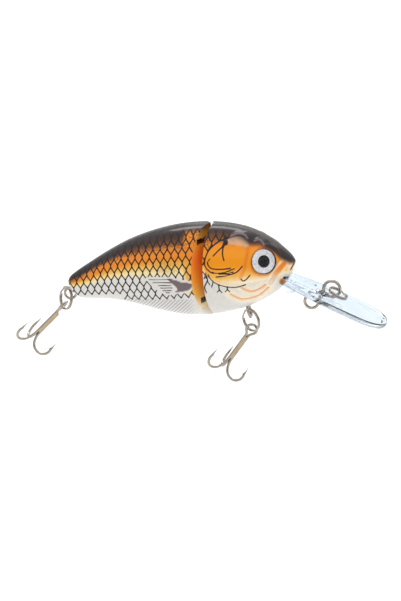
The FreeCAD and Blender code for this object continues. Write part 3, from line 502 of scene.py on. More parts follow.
def half_body(section):
    """The left half of a body section as closed sheets: skin, rolled edge, end wall and middle wall."""
    head = section == "head"
    plane_x, slope = (HEAD_REAR_X, HEAD_REAR_SLOPE) if head else (TAIL_FRONT_X, TAIL_FRONT_SLOPE)
    around = int(round(SKIN_GIRTH / SKIN_STEP)) + 1
    angles = np.linspace(0, math.pi, around)
    t_grid, angle_grid = np.meshgrid(FINE_T, angles, indexing="ij")
    fine = skin_points(t_grid, angle_grid)
    beyond = fine[..., 0] - slope * fine[..., 1] - plane_x
    end_t = np.array([np.interp(0.0, beyond[:, j], FINE_T) for j in range(around)])
    end_x = np.interp(end_t, FINE_T, FINE_MIDDLE_X)
    far_x = FINE_MIDDLE_X[-1] if head else FINE_MIDDLE_X[0]
    near_x = end_x + EDGE_ROUND * (1 if head else -1)
    rows = int(round(abs(far_x - plane_x) / SKIN_STEP))
    share = np.linspace(0, 1, rows)[:, None]
    skin_t = np.interp(far_x + (near_x[None] - far_x) * share, FINE_MIDDLE_X, FINE_T)
    skin = skin_points(skin_t, np.broadcast_to(angles, skin_t.shape))
    normals = grid_normals(skin)
    normals *= np.sign(normals[rows // 2, around // 2, 1])
    keep = np.sin(angles)[None, :, None] ** 0.5
    edge = np.clip(np.minimum(np.arange(rows), np.arange(rows)[::-1] * 2) / 8.0, 0, 1)[:, None, None]
    skin = skin + normals * (relief(skin[..., 0], skin[..., 2], section)[..., None] * keep * edge)
    corner = skin_points(end_t, angles)
    centre = corner[[0, -1]].mean(axis=0)
    inward = np.array([0.0, 0.0, centre[2]]) - corner * np.array([0, 1, 1])
    inward /= np.linalg.norm(inward, axis=1, keepdims=True)
    rim = corner + inward * EDGE_ROUND
    rim[:, 1] = np.maximum(rim[:, 1], 0)
    rim[[0, -1], 1] = 0
    rim[:, 0] = plane_x + slope * rim[:, 1]
    bend = np.linspace(0, 1, 5)[1:, None, None]
    roll = (1 - bend) ** 2 * skin[-1] + 2 * bend * (1 - bend) * corner + bend ** 2 * rim
    sheet = np.concatenate([skin, roll])
    if head:
        tip = skin[0]
        middle = (tip[0] + tip[-1]) / 2
        forward = np.array(NOSE_DIRECTION)
        caps = []
        for ring in range(NOSE_RINGS, 0, -1):
            turn = math.pi / 2 * ring / NOSE_RINGS
            caps.append(middle + (tip - middle) * math.cos(turn) + forward * NOSE_BULGE * math.sin(turn))
        sheet = np.concatenate([np.stack(caps), sheet])
    else:
        tip = skin[0]
        middle = (tip[0] + tip[-1]) / 2
        sheet = np.concatenate([np.broadcast_to(middle, tip.shape)[None], sheet])
    in_from_rim = np.linspace(1, 0, WALL_ROWS)[:, None]
    wall_y = rim[:, 1][None] * in_from_rim
    wall = np.stack([plane_x + slope * wall_y, wall_y, np.broadcast_to(rim[:, 2], wall_y.shape)], axis=-1)
    fall = (rim[0, 2] - rim[:, 2]) / (rim[0, 2] - rim[-1, 2])
    middle_wall = sheet[:, :1] + (sheet[:, -1:] - sheet[:, :1]) * fall[None, :, None]
    return sheet, wall, middle_wall


def cut_away(piece, cutters):
    """Take closed meshes out of a piece and leave no modifier on it."""
    for cutter in cutters:
        modifier = piece.modifiers.new("cut", "BOOLEAN")
        modifier.operation = "DIFFERENCE"
        modifier.solver = "EXACT"
        modifier.object = cutter
    evaluated = piece.evaluated_get(bpy.context.evaluated_depsgraph_get())
    mesh = bpy.data.meshes.new_from_object(evaluated)
    piece.modifiers.clear()
    piece.data = mesh
    finish_shading(mesh)
    for cutter in cutters:
        bpy.data.objects.remove(cutter)


def block(low, high):
    """A closed box used as a cutter."""
    corners = [(x, y, z) for x in (low[0], high[0]) for y in (low[1], high[1]) for z in (low[2], high[2])]
    faces = [(0, 1, 3, 2), (4, 6, 7, 5), (0, 4, 5, 1), (2, 3, 7, 6), (0, 2, 6, 4), (1, 5, 7, 3)]
    return new_piece("cutter", corners, faces, None)


def lathe(profile, centre, axis, material, name, segments=64):
    """A round piece turned from (radius, height) points, height along axis from centre."""
    axis = np.array(axis, float)
    axis /= np.linalg.norm(axis)
    side = np.cross(axis, (0.0, 0.0, 1.0))
    side /= np.linalg.norm(side)
    other = np.cross(axis, side)
    turn = np.linspace(0, 2 * math.pi, segments + 1)
    ring = side[None] * np.cos(turn)[:, None] + other[None] * np.sin(turn)[:, None]
    sheet = np.stack([np.array(centre) + ring * radius + axis * height for radius, height in profile])
    points, faces = merge([sheet])
    return new_piece(name, points, faces, material)


def bill_top(u, across, half_width):
    """Height of the bill's upper face: ribs on the stem, a boss for the line tie and a dished blade."""
    height = np.full(u.shape, BILL_HALF_THICKNESS)
    stem = near(u, BILL_STEM_LENGTH - 0.8, BILL_STEM_LENGTH)
    for offset in BILL_RIB_OFFSETS:
        height += BILL_RIB_HEIGHT * stem * near(np.abs(across - offset), *BILL_RIB_HALF_WIDTHS)
    boss_u = -BILL_ROOT @ BILL_ALONG - BILL_BOSS_BEFORE_EYE
    from_boss = np.hypot(u - boss_u, across)
    height = np.maximum(height, BILL_HALF_THICKNESS + BILL_BOSS_HEIGHT
                        * near(from_boss, BILL_BOSS_RADIUS - BILL_BOSS_WALL, BILL_BOSS_RADIUS))
    side = half_width - BILL_RIM - np.abs(across)
    rear = u - BILL_DISH_START
    corner = BILL_DISH_CORNER - np.hypot(np.minimum(rear - BILL_DISH_CORNER, 0),
                                         np.minimum(side - BILL_DISH_CORNER, 0))
    inside = np.minimum(corner, BILL_LENGTH - BILL_RIM - u)
    dish = BILL_DISH_DEPTH * smooth_step(inside, 0.0, BILL_DISH_WALL)
    return np.where(from_boss < BILL_BOSS_RADIUS, height, height - dish)


def bill_bottom(u, across):
    """Height of the bill's lower face, with the keel's web under the stem."""
    back, deep, front = BILL_KEEL_REACH
    drop = np.interp(u, [back, deep, front], [0.0, BILL_KEEL_DEPTH, 0.0])
    web = near(np.abs(across), BILL_KEEL_HALF_THICKNESS - 0.15, BILL_KEEL_HALF_THICKNESS + 0.05)
    return -BILL_HALF_THICKNESS - drop * web


def bill_sheets():
    """Upper and lower faces joined by a rounded edge, closed at the tip and inside the head."""
    straight_u = np.arange(BILL_START, BILL_LENGTH - BILL_TIP_LENGTH, BILL_STEP)
    straight_w = bill_half_width(straight_u)
    turn = np.linspace(0, math.pi / 2, 48)[:-1]
    power = 2 / BILL_TIP_POWER
    tip_u = BILL_LENGTH - BILL_TIP_LENGTH + (BILL_TIP_LENGTH - BILL_EDGE_ROUND) * np.sin(turn) ** power
    tip_w = (BILL_HALF_WIDTH - BILL_EDGE_ROUND) * np.cos(turn) ** power
    u = np.concatenate([straight_u, tip_u])[:, None]
    flat_w = np.concatenate([straight_w - BILL_EDGE_ROUND, tip_w])[:, None]
    share = np.linspace(-1, 1, 81)[None]
    across = flat_w * share
    full_w = flat_w + BILL_EDGE_ROUND
    wide_u = np.broadcast_to(u, across.shape)
    top = bill_top(wide_u, across, np.broadcast_to(full_w, across.shape))
    bottom = bill_bottom(wide_u, across)
    edge_u = np.gradient(u[:, 0])
    edge_w = np.gradient(flat_w[:, 0])
    length = np.hypot(edge_u, edge_w)
    straight = np.arange(len(u)) < len(straight_u)
    out_u = np.where(straight, 0.0, -edge_w / length)[:, None]
    out_w = np.where(straight, 1.0, edge_u / length)[:, None]
    bend = np.linspace(0, math.pi, 9)[1:-1][None]
    reach = BILL_EDGE_ROUND * np.sin(bend)
    sheets = [on_bill(wide_u, across, top), on_bill(wide_u, across, bottom)]
    for side, column in ((1, -1), (-1, 0)):
        middle = (top[:, column] + bottom[:, column])[:, None] / 2
        half = (top[:, column] - bottom[:, column])[:, None] / 2
        edge = on_bill(u + reach * out_u, side * (flat_w + reach * out_w), middle + half * np.cos(bend))
        first = on_bill(u[:, 0], across[:, column], top[:, column])[:, None]
        last = on_bill(u[:, 0], across[:, column], bottom[:, column])[:, None]
        sheets.append(np.concatenate([first, edge, last], axis=1))
    root_wall = np.stack([sheets[0][0], sheets[1][0]])
    tip_wall = np.stack([sheets[2][-1], sheets[3][-1]])
    return sheets + [root_wall, tip_wall]


# ---------------------------------------------------------------- shader helpers
def new_material(name):
    material = bpy.data.materials.new(name)
    material.use_nodes = True
    tree = material.node_tree
    tree.nodes.clear()
    out = tree.nodes.new("ShaderNodeOutputMaterial")
    shader = tree.nodes.new("ShaderNodeBsdfPrincipled")
    tree.links.new(shader.outputs[0], out.inputs["Surface"])
    return material, tree, shader


def feed(tree, source, socket):
    """Put a socket or a plain value into a node's input."""
    if isinstance(source, bpy.types.NodeSocket):
        tree.links.new(source, socket)
    else:
        socket.default_value = source


def attribute(tree, name):
    node = tree.nodes.new("ShaderNodeAttribute")
    node.attribute_name = name
    return node.outputs["Fac"]


def number(tree, operation, *values):
    node = tree.nodes.new("ShaderNodeMath")
    node.operation = operation
    for socket, value in zip(node.inputs, values):
        feed(tree, value, socket)
    return node.outputs[0]


def step(tree, value, low, high, to_low=0.0, to_high=1.0):
    """A smooth change from to_low to to_high as value goes from low to high."""
    node = tree.nodes.new("ShaderNodeMapRange")
    node.interpolation_type = "SMOOTHSTEP"
    for name, given in (("Value", value), ("From Min", low), ("From Max", high),
                        ("To Min", to_low), ("To Max", to_high)):
        feed(tree, given, node.inputs[name])
    return node.outputs[0]


def ramp(tree, value, stops):
    """Colour by value, from (place, colour) stops."""
    node = tree.nodes.new("ShaderNodeValToRGB")
    elements = node.color_ramp.elements
    while len(elements) < len(stops):
        elements.new(0.5)
    for element, (place, colour) in zip(elements, stops):
        element.position = place
        element.color = (*colour, 1)
    feed(tree, value, node.inputs[0])
    return node.outputs[0]


def mix(tree, factor, first, second, blend="MIX"):
    node = tree.nodes.new("ShaderNodeMix")
    node.data_type = "RGBA"
    node.blend_type = blend
    feed(tree, factor, node.inputs[0])
    for socket, value in ((node.inputs[6], first), (node.inputs[7], second)):
        feed(tree, value if isinstance(value, bpy.types.NodeSocket) else (*value, 1), socket)
    return node.outputs[2]


def rest_place(tree):
    """Place on the piece as it is at rest, so that a pattern rides with its body."""
    return tree.nodes.new("ShaderNodeTexCoord").outputs["Object"]


def noise(tree, per_mm, detail=3.0, stretch=(1, 1, 1)):
    """Noise from 0 to 1 with about per_mm spots to a millimetre."""
    mapping = tree.nodes.new("ShaderNodeMapping")
    mapping.inputs["Scale"].default_value = stretch
    tree.links.new(rest_place(tree), mapping.inputs["Vector"])
    node = tree.nodes.new("ShaderNodeTexNoise")
    node.inputs["Scale"].default_value = per_mm / MM
    node.inputs["Detail"].default_value = detail
    tree.links.new(mapping.outputs[0], node.inputs["Vector"])
    return node.outputs["Fac"]


def bump(tree, shader, height, strength, distance_mm):
    node = tree.nodes.new("ShaderNodeBump")
    node.inputs["Strength"].default_value = strength
    node.inputs["Distance"].default_value = distance_mm * MM
    feed(tree, height, node.inputs["Height"])
    tree.links.new(node.outputs[0], shader.inputs["Normal"])


def colour(red, green, blue):
    """Linear colour from display values of 0 to 255."""
    def linear(value):
        v = value / 255
        return v / 12.92 if v <= 0.04045 else ((v + 0.055) / 1.055) ** 2.4
    return tuple(linear(value) for value in (red, green, blue))


# ---------------------------------------------------------------- paint
BLACK = colour(24, 17, 16)
BACK_BROWN = colour(40, 28, 28)
DARK_BROWN = colour(66, 38, 20)
BROWN = colour(122, 70, 26)
ORANGE = colour(236, 138, 26)
DEEP_ORANGE = colour(226, 104, 22)
CHEEK_ORANGE = colour(242, 150, 14)
GOLD = colour(240, 184, 84)
PALE_YELLOW = colour(245, 222, 160)
CREAM = colour(250, 236, 206)
SILVER_WHITE = colour(222, 219, 214)
FIN_GREY = colour(112, 96, 98)
# Painted highlight colour for the head's raised crests.
CREST_HIGHLIGHT_LILAC = colour(168, 150, 162)
GRAIN_GREY = colour(176, 172, 170)
HATCH_GREY = colour(150, 148, 150)


def body_paint(section):
    """Airbrushed lacquer over foil with black line work, under a thick clear coat."""
    material, tree, shader = new_material(section + "_paint")
    tone = number(tree, "ADD", attribute(tree, "tone"),
                  number(tree, "MULTIPLY", number(tree, "SUBTRACT", noise(tree, 0.5), 0.5), 0.10))
    if section == "tail":
        base = ramp(tree, tone, [(0.0, BACK_BROWN), (0.17, DARK_BROWN), (0.26, BROWN), (0.36, ORANGE),
                                 (0.54, ORANGE), (0.68, GOLD), (0.82, PALE_YELLOW), (0.98, SILVER_WHITE)])
    else:
        base = ramp(tree, tone, [(0.0, BACK_BROWN), (0.15, BROWN), (0.24, ORANGE), (0.32, CHEEK_ORANGE),
                                 (0.62, CHEEK_ORANGE), (0.76, GOLD), (0.90, CREAM), (1.0, SILVER_WHITE)])
    spots = step(tree, noise(tree, 2.6, 2.0), 0.50, 0.62)
    spots = number(tree, "MULTIPLY", spots, attribute(tree, "speckle"))
    base = mix(tree, number(tree, "MULTIPLY", spots, 0.75), base, DARK_BROWN)
    grain = step(tree, noise(tree, 5.5, 1.0), 0.35, 0.75)
    grain = number(tree, "MULTIPLY", grain, attribute(tree, "foil_grain"))
    base = mix(tree, grain, base, GRAIN_GREY)
    place = tree.nodes.new("ShaderNodeSeparateXYZ")
    tree.links.new(rest_place(tree), place.inputs[0])
    slant = number(tree, "SUBTRACT", place.outputs[2], place.outputs[0])
    wave = number(tree, "SINE", number(tree, "MULTIPLY", slant, HATCH_WAVES_PER_MM * 2 * math.pi / MM))
    hatch = number(tree, "MULTIPLY", step(tree, wave, -0.3, 0.7), attribute(tree, "hatch"))
    base = mix(tree, hatch, base, HATCH_GREY)
    # Deeper orange by the eye, cheek and jaw lines, plus painted shade round the gap at the bill's root.
    base = mix(tree, attribute(tree, "deep_orange_and_gap_shade"), base, DEEP_ORANGE)
    base = mix(tree, attribute(tree, "pale"), base, CREAM)
    base = mix(tree, attribute(tree, "fin"), base, FIN_GREY)
    base = mix(tree, attribute(tree, "black"), base, BACK_BROWN)
    # Painted highlight along the head's raised crests.
    base = mix(tree, attribute(tree, "painted_crest_highlight"), base, CREST_HIGHLIGHT_LILAC)
    line = step(tree, attribute(tree, "ink"), -0.07, 0.05, 1.0, 0.0)
    feed(tree, mix(tree, line, base, BLACK), shader.inputs["Base Color"])
    shader.inputs["Metallic"].default_value = 0.12
    shader.inputs["Specular IOR Level"].default_value = 0.2
    feed(tree, step(tree, noise(tree, 0.8), 0.2, 0.8, 0.30, 0.42), shader.inputs["Roughness"])
    shader.inputs["Coat Weight"].default_value = 0.5
    shader.inputs["Coat Roughness"].default_value = 0.06
    shader.inputs["Coat IOR"].default_value = 1.4
    bump(tree, shader, noise(tree, 1.6, 2.0), 0.25, 0.03)
    return material


def bevel_paint():
    """Overspray on the faces of the joint: orange, dark at the back and white at the belly."""
    material, tree, shader = new_material("bevel_paint")
    height = tree.nodes.new("ShaderNodeSeparateXYZ")
    tree.links.new(rest_place(tree), height.inputs[0])
    level = number(tree, "ADD", height.outputs[2], JOINT_FOOT_DEPTH * MM)
    level = number(tree, "DIVIDE", level, JOINT_HEIGHT * MM)
    drift = number(tree, "SUBTRACT", noise(tree, 0.6), 0.5)
    level = number(tree, "ADD", level, number(tree, "MULTIPLY", drift, 0.06))
    base = ramp(tree, level, [(0.0, SILVER_WHITE), (0.14, CREAM), (0.28, colour(240, 190, 96)),
                              (0.42, colour(250, 172, 60)), (0.66, colour(248, 136, 52)),
                              (0.80, colour(240, 156, 56)), (0.90, colour(200, 150, 64)), (0.97, BROWN)])
    feed(tree, base, shader.inputs["Base Color"])
    feed(tree, step(tree, noise(tree, 1.0), 0.2, 0.8, 0.28, 0.42), shader.inputs["Roughness"])
    shader.inputs["Coat Weight"].default_value = 0.8
    shader.inputs["Coat Roughness"].default_value = 0.1
    bump(tree, shader, noise(tree, 2.0, 2.0), 0.2, 0.03)
    return material


def store(mesh, name, values):
    layer = mesh.attributes.new(name, "FLOAT", "POINT")
    layer.data.foreach_set("value", np.asarray(values, np.float32))


def tail_fields(x, z, depth, height):
    """How the tail's side is painted at each point."""
    tone = depth / (0.5 * height + 0.8)
    speckle = near(tone, 0.30, 0.48)
    patch = np.hypot((x - MOTTLED_PATCH[0]) / 5.2, (z - MOTTLED_PATCH[1]) / 2.6)
    speckle = np.maximum(speckle, 0.6 * near(patch, 0.6, 1.0))
    hatch = 0.75 * smooth_step(x, -70.0, -64.0) * near(x, -46.0, -42.0)
    hatch = hatch * near(z - 0.03 * (x + 60.0), -0.4, 0.2)
    grain = 0.35 * smooth_step(tone, 0.8, 1.1)
    fin = near(signed_distance(x, z, smooth_line(FIN_ROOT, closed=True)), -0.15, 0.1)
    joint = smooth_step(x, OVERSPRAY_EDGE_X, OVERSPRAY_EDGE_X + 2.2)
    tone = tone + joint * smooth_step(z, 0.0, 3.5) * (np.clip(tone, 0.40, 0.62) - tone)
    clearing = signed_distance(x, z, smooth_line(FIN_CLEARING, closed=True))
    tone = np.where(clearing < 0, np.maximum(tone, 1.0), tone)
    return {"tone": tone, "speckle": speckle, "foil_grain": grain, "fin": fin, "hatch": hatch}


def head_fields(x, z, depth, height):
    """How the head's side is painted at each point."""
    tone = depth / (0.68 * height)
    cover = signed_distance(x, z, smooth_line(GILL_COVER, closed=True))
    behind = smooth_step(cover, 0.0, 0.5) * smooth_step(-x, 29.0, 31.0)
    tone = tone * (1 + 0.35 * behind * smooth_step(depth, 6, 14))
    speckle = behind * near(tone, 0.2, 0.42)
    grain = 0.5 * smooth_step(tone, 0.82, 0.95)
    eye = np.hypot(x - EYE_CENTRE[0], z - EYE_CENTRE[1]) - EYE_RADIUS
    below_eye = smooth_step(EYE_CENTRE[1] - z, 0.5, 3.0)
    deep = near(eye, 0.3, 1.5) * below_eye * 0.5
    edge = distance_to_line(x, z, smooth_line(CHEEK_EDGE))
    deep = np.maximum(deep, 0.45 * near(edge, 0.1, 0.9))
    for line in JAW_LINES:
        away = distance_to_line(x, z, smooth_line(line))
        deep = np.maximum(deep, 0.6 * near(away, 0.1, 0.4))
        tone = np.minimum(tone, 0.88 + 0.12 * smooth_step(away, 0.3, 3.0))
    jaw = distance_to_line(x, z, smooth_line(UPPER_JAW)) - UPPER_JAW_RADIUS
    deep = np.maximum(deep, 0.5 * near(jaw, -0.75, -0.3) * smooth_step(z, 3.5, 7.5))
    # Painted shade round the gap at the bill's root: deeper orange and no pale tone near it.
    corner = distance_to_line(x, z, np.array(BILL_GAP_SHADE))
    deep = np.maximum(deep, 0.7 * near(corner, 0.3, 0.9))
    tone = np.minimum(tone, 0.7 + 0.3 * smooth_step(corner, 0.6, 1.6))
    patch = signed_distance(x, z, smooth_line(CHEEK_PATCH, closed=True))
    pale = 0.3 * near(patch, -0.4, 0.0)
    pale = np.maximum(pale, 0.8 * np.exp(-((jaw - 0.05) / 0.3) ** 2))
    pale = np.maximum(pale, 0.75 * smooth_step(x, -13.9, -12.6) * near(z, 9.0, 10.4))
    # Painted highlight along the raised crests of the cheek patch and brow.
    crest = np.minimum(distance_to_line(x, z, smooth_line(PATCH_CREST)),
                       distance_to_line(x, z, smooth_line(BROW_CREST)))
    painted_crest_highlight = 0.45 * near(crest, 0.05, 0.35)
    return {"tone": tone, "speckle": speckle, "foil_grain": grain, "deep_orange_and_gap_shade": deep, "pale": pale,
            "painted_crest_highlight": painted_crest_highlight}


def paint_fields(piece, section):
    """Store on each vertex the distances and amounts that the paint reads; one left out counts as 0."""
    mesh = piece.data
    x, _, z = vertex_places(mesh).T
    depth = back_height(x) - z
    height = back_height(x) - belly_height(x)
    fields = (tail_fields if section == "tail" else head_fields)(x, z, depth, height)
    fields["tone"] = np.clip(fields["tone"], 0, 1.2)
    black = smooth_line(BLACK_EDGE)
    over = z - np.interp(x, black[:, 0], black[:, 1])
    fields["black"] = smooth_step(over, -1.3, 0.7)
    fields["ink"] = ink_distance(x, z, section)
    for name, values in fields.items():
        store(mesh, name, values)


def assign_bevel(piece, section):
    """Give the joint's faces, but not the skin, the second material."""
    plane_x, slope = (HEAD_REAR_X, HEAD_REAR_SLOPE) if section == "head" else (TAIL_FRONT_X, TAIL_FRONT_SLOPE)
    mesh = piece.data
    centres = np.empty(len(mesh.polygons) * 3, np.float32)
    mesh.polygons.foreach_get("center", centres)
    x, y, _ = centres.reshape(-1, 3).astype(float).T / MM
    past = x - (plane_x + slope * np.abs(y))
    inner = past < JOINT_FACE_MARGIN if section == "head" else past > -JOINT_FACE_MARGIN
    index = np.where(inner, 1, 0).astype(np.int32)
    mesh.polygons.foreach_set("material_index", index)
    mesh.update()


# ---------------------------------------------------------------- metal, plastic and foil
def wire_metal(name, tint, low, high):
    """Bright plated wire: a faintly bumpy surface and small stains in the plating."""
    material, tree, shader = new_material(name)
    stain = step(tree, noise(tree, 0.7), 0.35, 0.75)
    feed(tree, mix(tree, number(tree, "MULTIPLY", stain, 0.5), tint, tuple(c * 0.72 for c in tint)),
         shader.inputs["Base Color"])
    shader.inputs["Metallic"].default_value = 1.0
    feed(tree, step(tree, noise(tree, 2.2), 0.25, 0.8, low, high), shader.inputs["Roughness"])
    bump(tree, shader, noise(tree, 4.0, 2.0), 0.15, 0.02)
    return material


def clear_plastic():
    """Injection-moulded clear polycarbonate with faint flow marks."""
    material, tree, shader = new_material("bill_plastic")
    cloud = step(tree, noise(tree, 0.12), 0.3, 0.7)
    tint = mix(tree, cloud, colour(222, 233, 243), colour(208, 223, 237))
    feed(tree, tint, shader.inputs["Base Color"])
    shader.inputs["Transmission Weight"].default_value = 1.0
    shader.inputs["IOR"].default_value = 1.45
    feed(tree, step(tree, noise(tree, 0.5), 0.3, 0.8, 0.0, 0.05), shader.inputs["Roughness"])
    bump(tree, shader, noise(tree, 0.35, 2.0, (1, 3, 1)), 0.12, 0.08)
    return material


def eye_glass():
    material, tree, shader = new_material("eye_dome")
    feed(tree, mix(tree, noise(tree, 0.5), (1, 1, 1), (0.97, 0.98, 1.0)), shader.inputs["Base Color"])
    shader.inputs["Transmission Weight"].default_value = 1.0
    shader.inputs["IOR"].default_value = 1.25
    feed(tree, step(tree, noise(tree, 1.0), 0.3, 0.8, 0.0, 0.02), shader.inputs["Roughness"])
    return material


def eye_print():
    """Silver foil with a printed black pupil and a thin dark rim."""
    material, tree, shader = new_material("eye_foil_print")
    radius = attribute(tree, "eye_radius")
    wobble = number(tree, "MULTIPLY", number(tree, "SUBTRACT", noise(tree, 1.2), 0.5), 0.12)
    radius = number(tree, "ADD", radius, wobble)
    pupil = step(tree, radius, 1.86, 2.0, 1.0, 0.0)
    rim = step(tree, radius, 3.54, 3.66)
    foil = mix(tree, step(tree, noise(tree, 1.4), 0.35, 0.75), colour(250, 250, 252), colour(222, 225, 230))
    base = mix(tree, pupil, foil, colour(16, 17, 22))
    base = mix(tree, rim, base, colour(40, 26, 20))
    feed(tree, base, shader.inputs["Base Color"])
    shader.inputs["Specular IOR Level"].default_value = 0.15
    printed = number(tree, "MAXIMUM", pupil, rim)
    bare_foil = number(tree, "SUBTRACT", 1.0, printed)
    feed(tree, number(tree, "MULTIPLY", bare_foil, 0.25), shader.inputs["Metallic"])
    feed(tree, step(tree, noise(tree, 1.0), 0.3, 0.7, 0.22, 0.36), shader.inputs["Roughness"])
    bump(tree, shader, noise(tree, 3.0, 2.0), 0.2, 0.03)
    return material


# ---------------------------------------------------------------- the pieces
def node_axis(name):
    """Centre and thinnest direction of a flat CAD node, in millimetres, pointing outwards."""
    place = vertex_places(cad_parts[name].data)
    low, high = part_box(name)
    centre = np.array((low + high) / 2) / MM
    _, vectors = np.linalg.eigh(np.cov((place - centre).T))
    axis = vectors[:, 0]
    if axis[1] * centre[1] < 0:
        axis = -axis
    return centre, axis


def make_body():
    paints = {section: body_paint(section) for section in ("head", "tail")}
    bevel = bevel_paint()
    for section in ("head", "tail"):
        sheets = half_body(section)
        for side, mirror in (("left", 1), ("right", -1)):
            turned = [sheet * np.array([1, mirror, 1]) for sheet in sheets]
            points, faces = merge(turned)
            piece = new_piece(f"{section}_skin_{side}", points, faces, paints[section])
            piece.data.materials.append(bevel)
            if section == "tail":
                cutters = [block((HINGE_SLOT_REAR_X, -HINGE_SLOT_HALF_WIDTH, z - HINGE_SLOT_HEIGHT / 2),
                                 (HINGE_SLOT_FRONT_X, HINGE_SLOT_HALF_WIDTH, z + HINGE_SLOT_HEIGHT / 2))
                           for z in HINGE_SLOT_HEIGHTS]
            else:
                centre, axis = node_axis(side + "_eye_foil")
                socket = EYE_RADIUS + EYE_SOCKET_CLEARANCE
                cutters = [lathe([(0, -EYE_SOCKET_DEPTH), (socket, -EYE_SOCKET_DEPTH),
                                  (socket, EYE_SOCKET_REACH), (0, EYE_SOCKET_REACH)],
                                 centre, axis, None, "cutter")]
            cut_away(piece, cutters)
            paint_fields(piece, section)
            assign_bevel(piece, section)
            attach(piece, "head" if section == "head" else "tail")
            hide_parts(f"{section}_shell_{side}")


def make_eyes():
    glass = eye_glass()
    foil = eye_print()
    for side in ("right", "left"):
        centre, axis = node_axis(side + "_eye_foil")
        rings = [(0.0, 0.14), (0.9, 0.14), (1.9, 0.13), (2.8, 0.11), (3.5, 0.13), (3.8, 0.17),
                 (3.98, 0.14), (4.03, 0.0), (3.98, -0.15), (1.8, -0.15), (0.0, -0.15)]
        disc = lathe(rings, centre, axis, foil, side + "_eye_disc", 72)
        offset = vertex_places(disc.data) - centre
        along = offset @ axis
        store(disc.data, "eye_radius", np.linalg.norm(offset - along[:, None] * axis, axis=1))
        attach(disc, "head")
        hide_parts(side + "_eye_foil")
        drum_foot, drum_top, dome_height = 0.17, 0.87, 1.12
        dome = [(0.0, drum_foot), (1.5, drum_foot), (3.0, drum_foot), (EYE_RADIUS - 0.04, drum_foot),
                (EYE_RADIUS, drum_foot + 0.05), (EYE_RADIUS, drum_top)]
        for i in range(1, 13):
            turn = math.pi / 2 * i / 12
            dome.append((EYE_RADIUS * math.cos(turn), drum_top + dome_height * math.sin(turn)))
        lens = lathe(dome, centre, axis, glass, side + "_eye_dome", 72)
        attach(lens, "head")
        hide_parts(side + "_eye_lens")


def make_bill():
    points, faces = merge(bill_sheets())
    piece = new_piece("clear_diving_bill", points, faces, clear_plastic(), sharp_angle=50)
    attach(piece, "head")
    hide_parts("diving_bill")


def dress_nodes():
    """CAD nodes whose shape is already right get their metals."""
    nickel = wire_metal("bright_nickel", colour(172, 164, 154), 0.07, 0.18)
    steel = wire_metal("hinge_steel", colour(150, 146, 142), 0.18, 0.32)
    brass = wire_metal("braze_brass", colour(196, 168, 120), 0.22, 0.42)
    lead = wire_metal("ballast_metal", colour(120, 120, 124), 0.4, 0.6)
    by_word = [("braze", brass), ("hinge", steel), ("ballast", lead), ("rattle", steel)]
    for name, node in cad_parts.items():
        if node.hide_render:
            continue
        chosen = next((material for word, material in by_word if word in name), nickel)
        node.data.materials.clear()
        node.data.materials.append(chosen)


# ---------------------------------------------------------------- stage
# The floor and its curved sweep up to the backdrop, in metres.
FLOOR_REACH = 3.0
SWEEP_START = 1.2
SWEEP_RADIUS = 0.8
SWEEP_STEPS = 8


def make_stage():
    low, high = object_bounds()
    floor_z = low.z - FLOOR_DROP
    mesh = bpy.data.meshes.new("floor")
    profile = [(-FLOOR_REACH, 0.0)]
    for i in range(SWEEP_STEPS + 1):
        turn = math.pi / 2 * i / SWEEP_STEPS
        profile.append((SWEEP_START + SWEEP_RADIUS * math.sin(turn), SWEEP_RADIUS * (1 - math.cos(turn))))
    profile.append((SWEEP_START + SWEEP_RADIUS, FLOOR_REACH))
    rows = [[(-FLOOR_REACH, y, floor_z + z), (FLOOR_REACH, y, floor_z + z)] for y, z in profile]
    points = np.array(rows).reshape(-1, 3)
    mesh.from_pydata(points.tolist(), [], grid_faces(len(profile), 2).tolist())
    finish_shading(mesh)
    floor = bpy.data.objects.new("floor", mesh)
    bpy.context.collection.objects.link(floor)
    material, tree, shader = new_material("pale_paper")
    white = mix(tree, noise(tree, 0.01), colour(252, 252, 252), colour(249, 249, 248))
    feed(tree, white, shader.inputs["Base Color"])
    shader.inputs["Roughness"].default_value = 0.9
    shader.inputs["Specular IOR Level"].default_value = 0.1
    mesh.materials.append(material)


def make_light(name, location, target, size, power):
    data = bpy.data.lights.new(name, "AREA")
    data.shape = "RECTANGLE"
    data.size, data.size_y = size
    data.energy = power
    lamp = bpy.data.objects.new(name, data)
    lamp.location = location
    lamp.rotation_mode = "QUATERNION"
    lamp.rotation_quaternion = (Vector(target) - Vector(location)).to_track_quat("-Z", "Y")
    bpy.context.collection.objects.link(lamp)


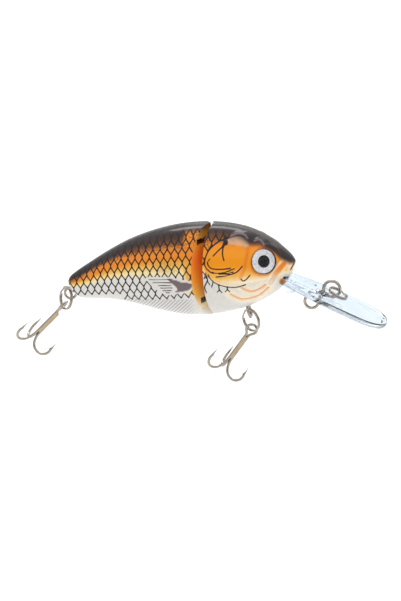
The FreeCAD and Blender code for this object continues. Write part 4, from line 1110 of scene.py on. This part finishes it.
def make_lights():
    middle = (-0.045, 0.0, 0.005)
    make_light("key", (-0.10, 0.42, 0.78), middle, (0.6, 0.22), KEY_POWER)
    make_light("back", (0.15, 0.75, 0.55), middle, (0.9, 0.3), BACK_POWER)
    world = bpy.data.worlds.new("studio")
    bpy.context.scene.world = world
    world.use_nodes = True
    tree = world.node_tree
    direction = tree.nodes.new("ShaderNodeSeparateXYZ")
    tree.links.new(tree.nodes.new("ShaderNodeTexCoord").outputs["Generated"], direction.inputs[0])
    rear = step(tree, direction.outputs[1], -0.7, 0.6, ROOM_FRONT, ROOM_REAR)
    above = step(tree, direction.outputs[2], 0.25, 0.9, 0.0, ROOM_ABOVE)
    tree.nodes["Background"].inputs["Color"].default_value = (1, 1, 1, 1)
    screen = number(tree, "MULTIPLY", step(tree, direction.outputs[1], -0.8, -0.3, ROOM_SCREEN, 0.0),
                    step(tree, direction.outputs[2], 0.05, 0.3, 1.0, 0.0))
    level = number(tree, "SUBTRACT", number(tree, "ADD", rear, above), screen)
    tree.links.new(level, tree.nodes["Background"].inputs["Strength"])


def make_camera():
    right = Vector((math.cos(VIEW_YAW), math.sin(VIEW_YAW), 0))
    level = math.cos(VIEW_ELEVATION)
    back = Vector((math.sin(VIEW_YAW) * level, -math.cos(VIEW_YAW) * level, math.sin(VIEW_ELEVATION)))
    up = back.cross(right)
    rolled_right = right * math.cos(VIEW_ROLL) - up * math.sin(VIEW_ROLL)
    rolled_up = right * math.sin(VIEW_ROLL) + up * math.cos(VIEW_ROLL)
    aim = (rolled_right * AIM_RIGHT + rolled_up * AIM_UP) * MM
    data = bpy.data.cameras.new("camera")
    data.sensor_width = SENSOR_SIDE
    data.lens = SENSOR_SIDE * CAMERA_DISTANCE / FRAME_HEIGHT
    data.clip_start = 0.05
    data.clip_end = 20.0
    camera = bpy.data.objects.new("camera", data)
    place = aim + back * (CAMERA_DISTANCE * MM)
    turn = Matrix((rolled_right, rolled_up, back)).transposed().to_4x4()
    camera.matrix_world = Matrix.Translation(place) @ turn
    bpy.context.collection.objects.link(camera)
    bpy.context.scene.camera = camera


make_camera()
make_body()
make_eyes()
make_bill()
dress_nodes()
make_stage()
make_lights()
bpy.context.scene.view_settings.view_transform = "Standard"
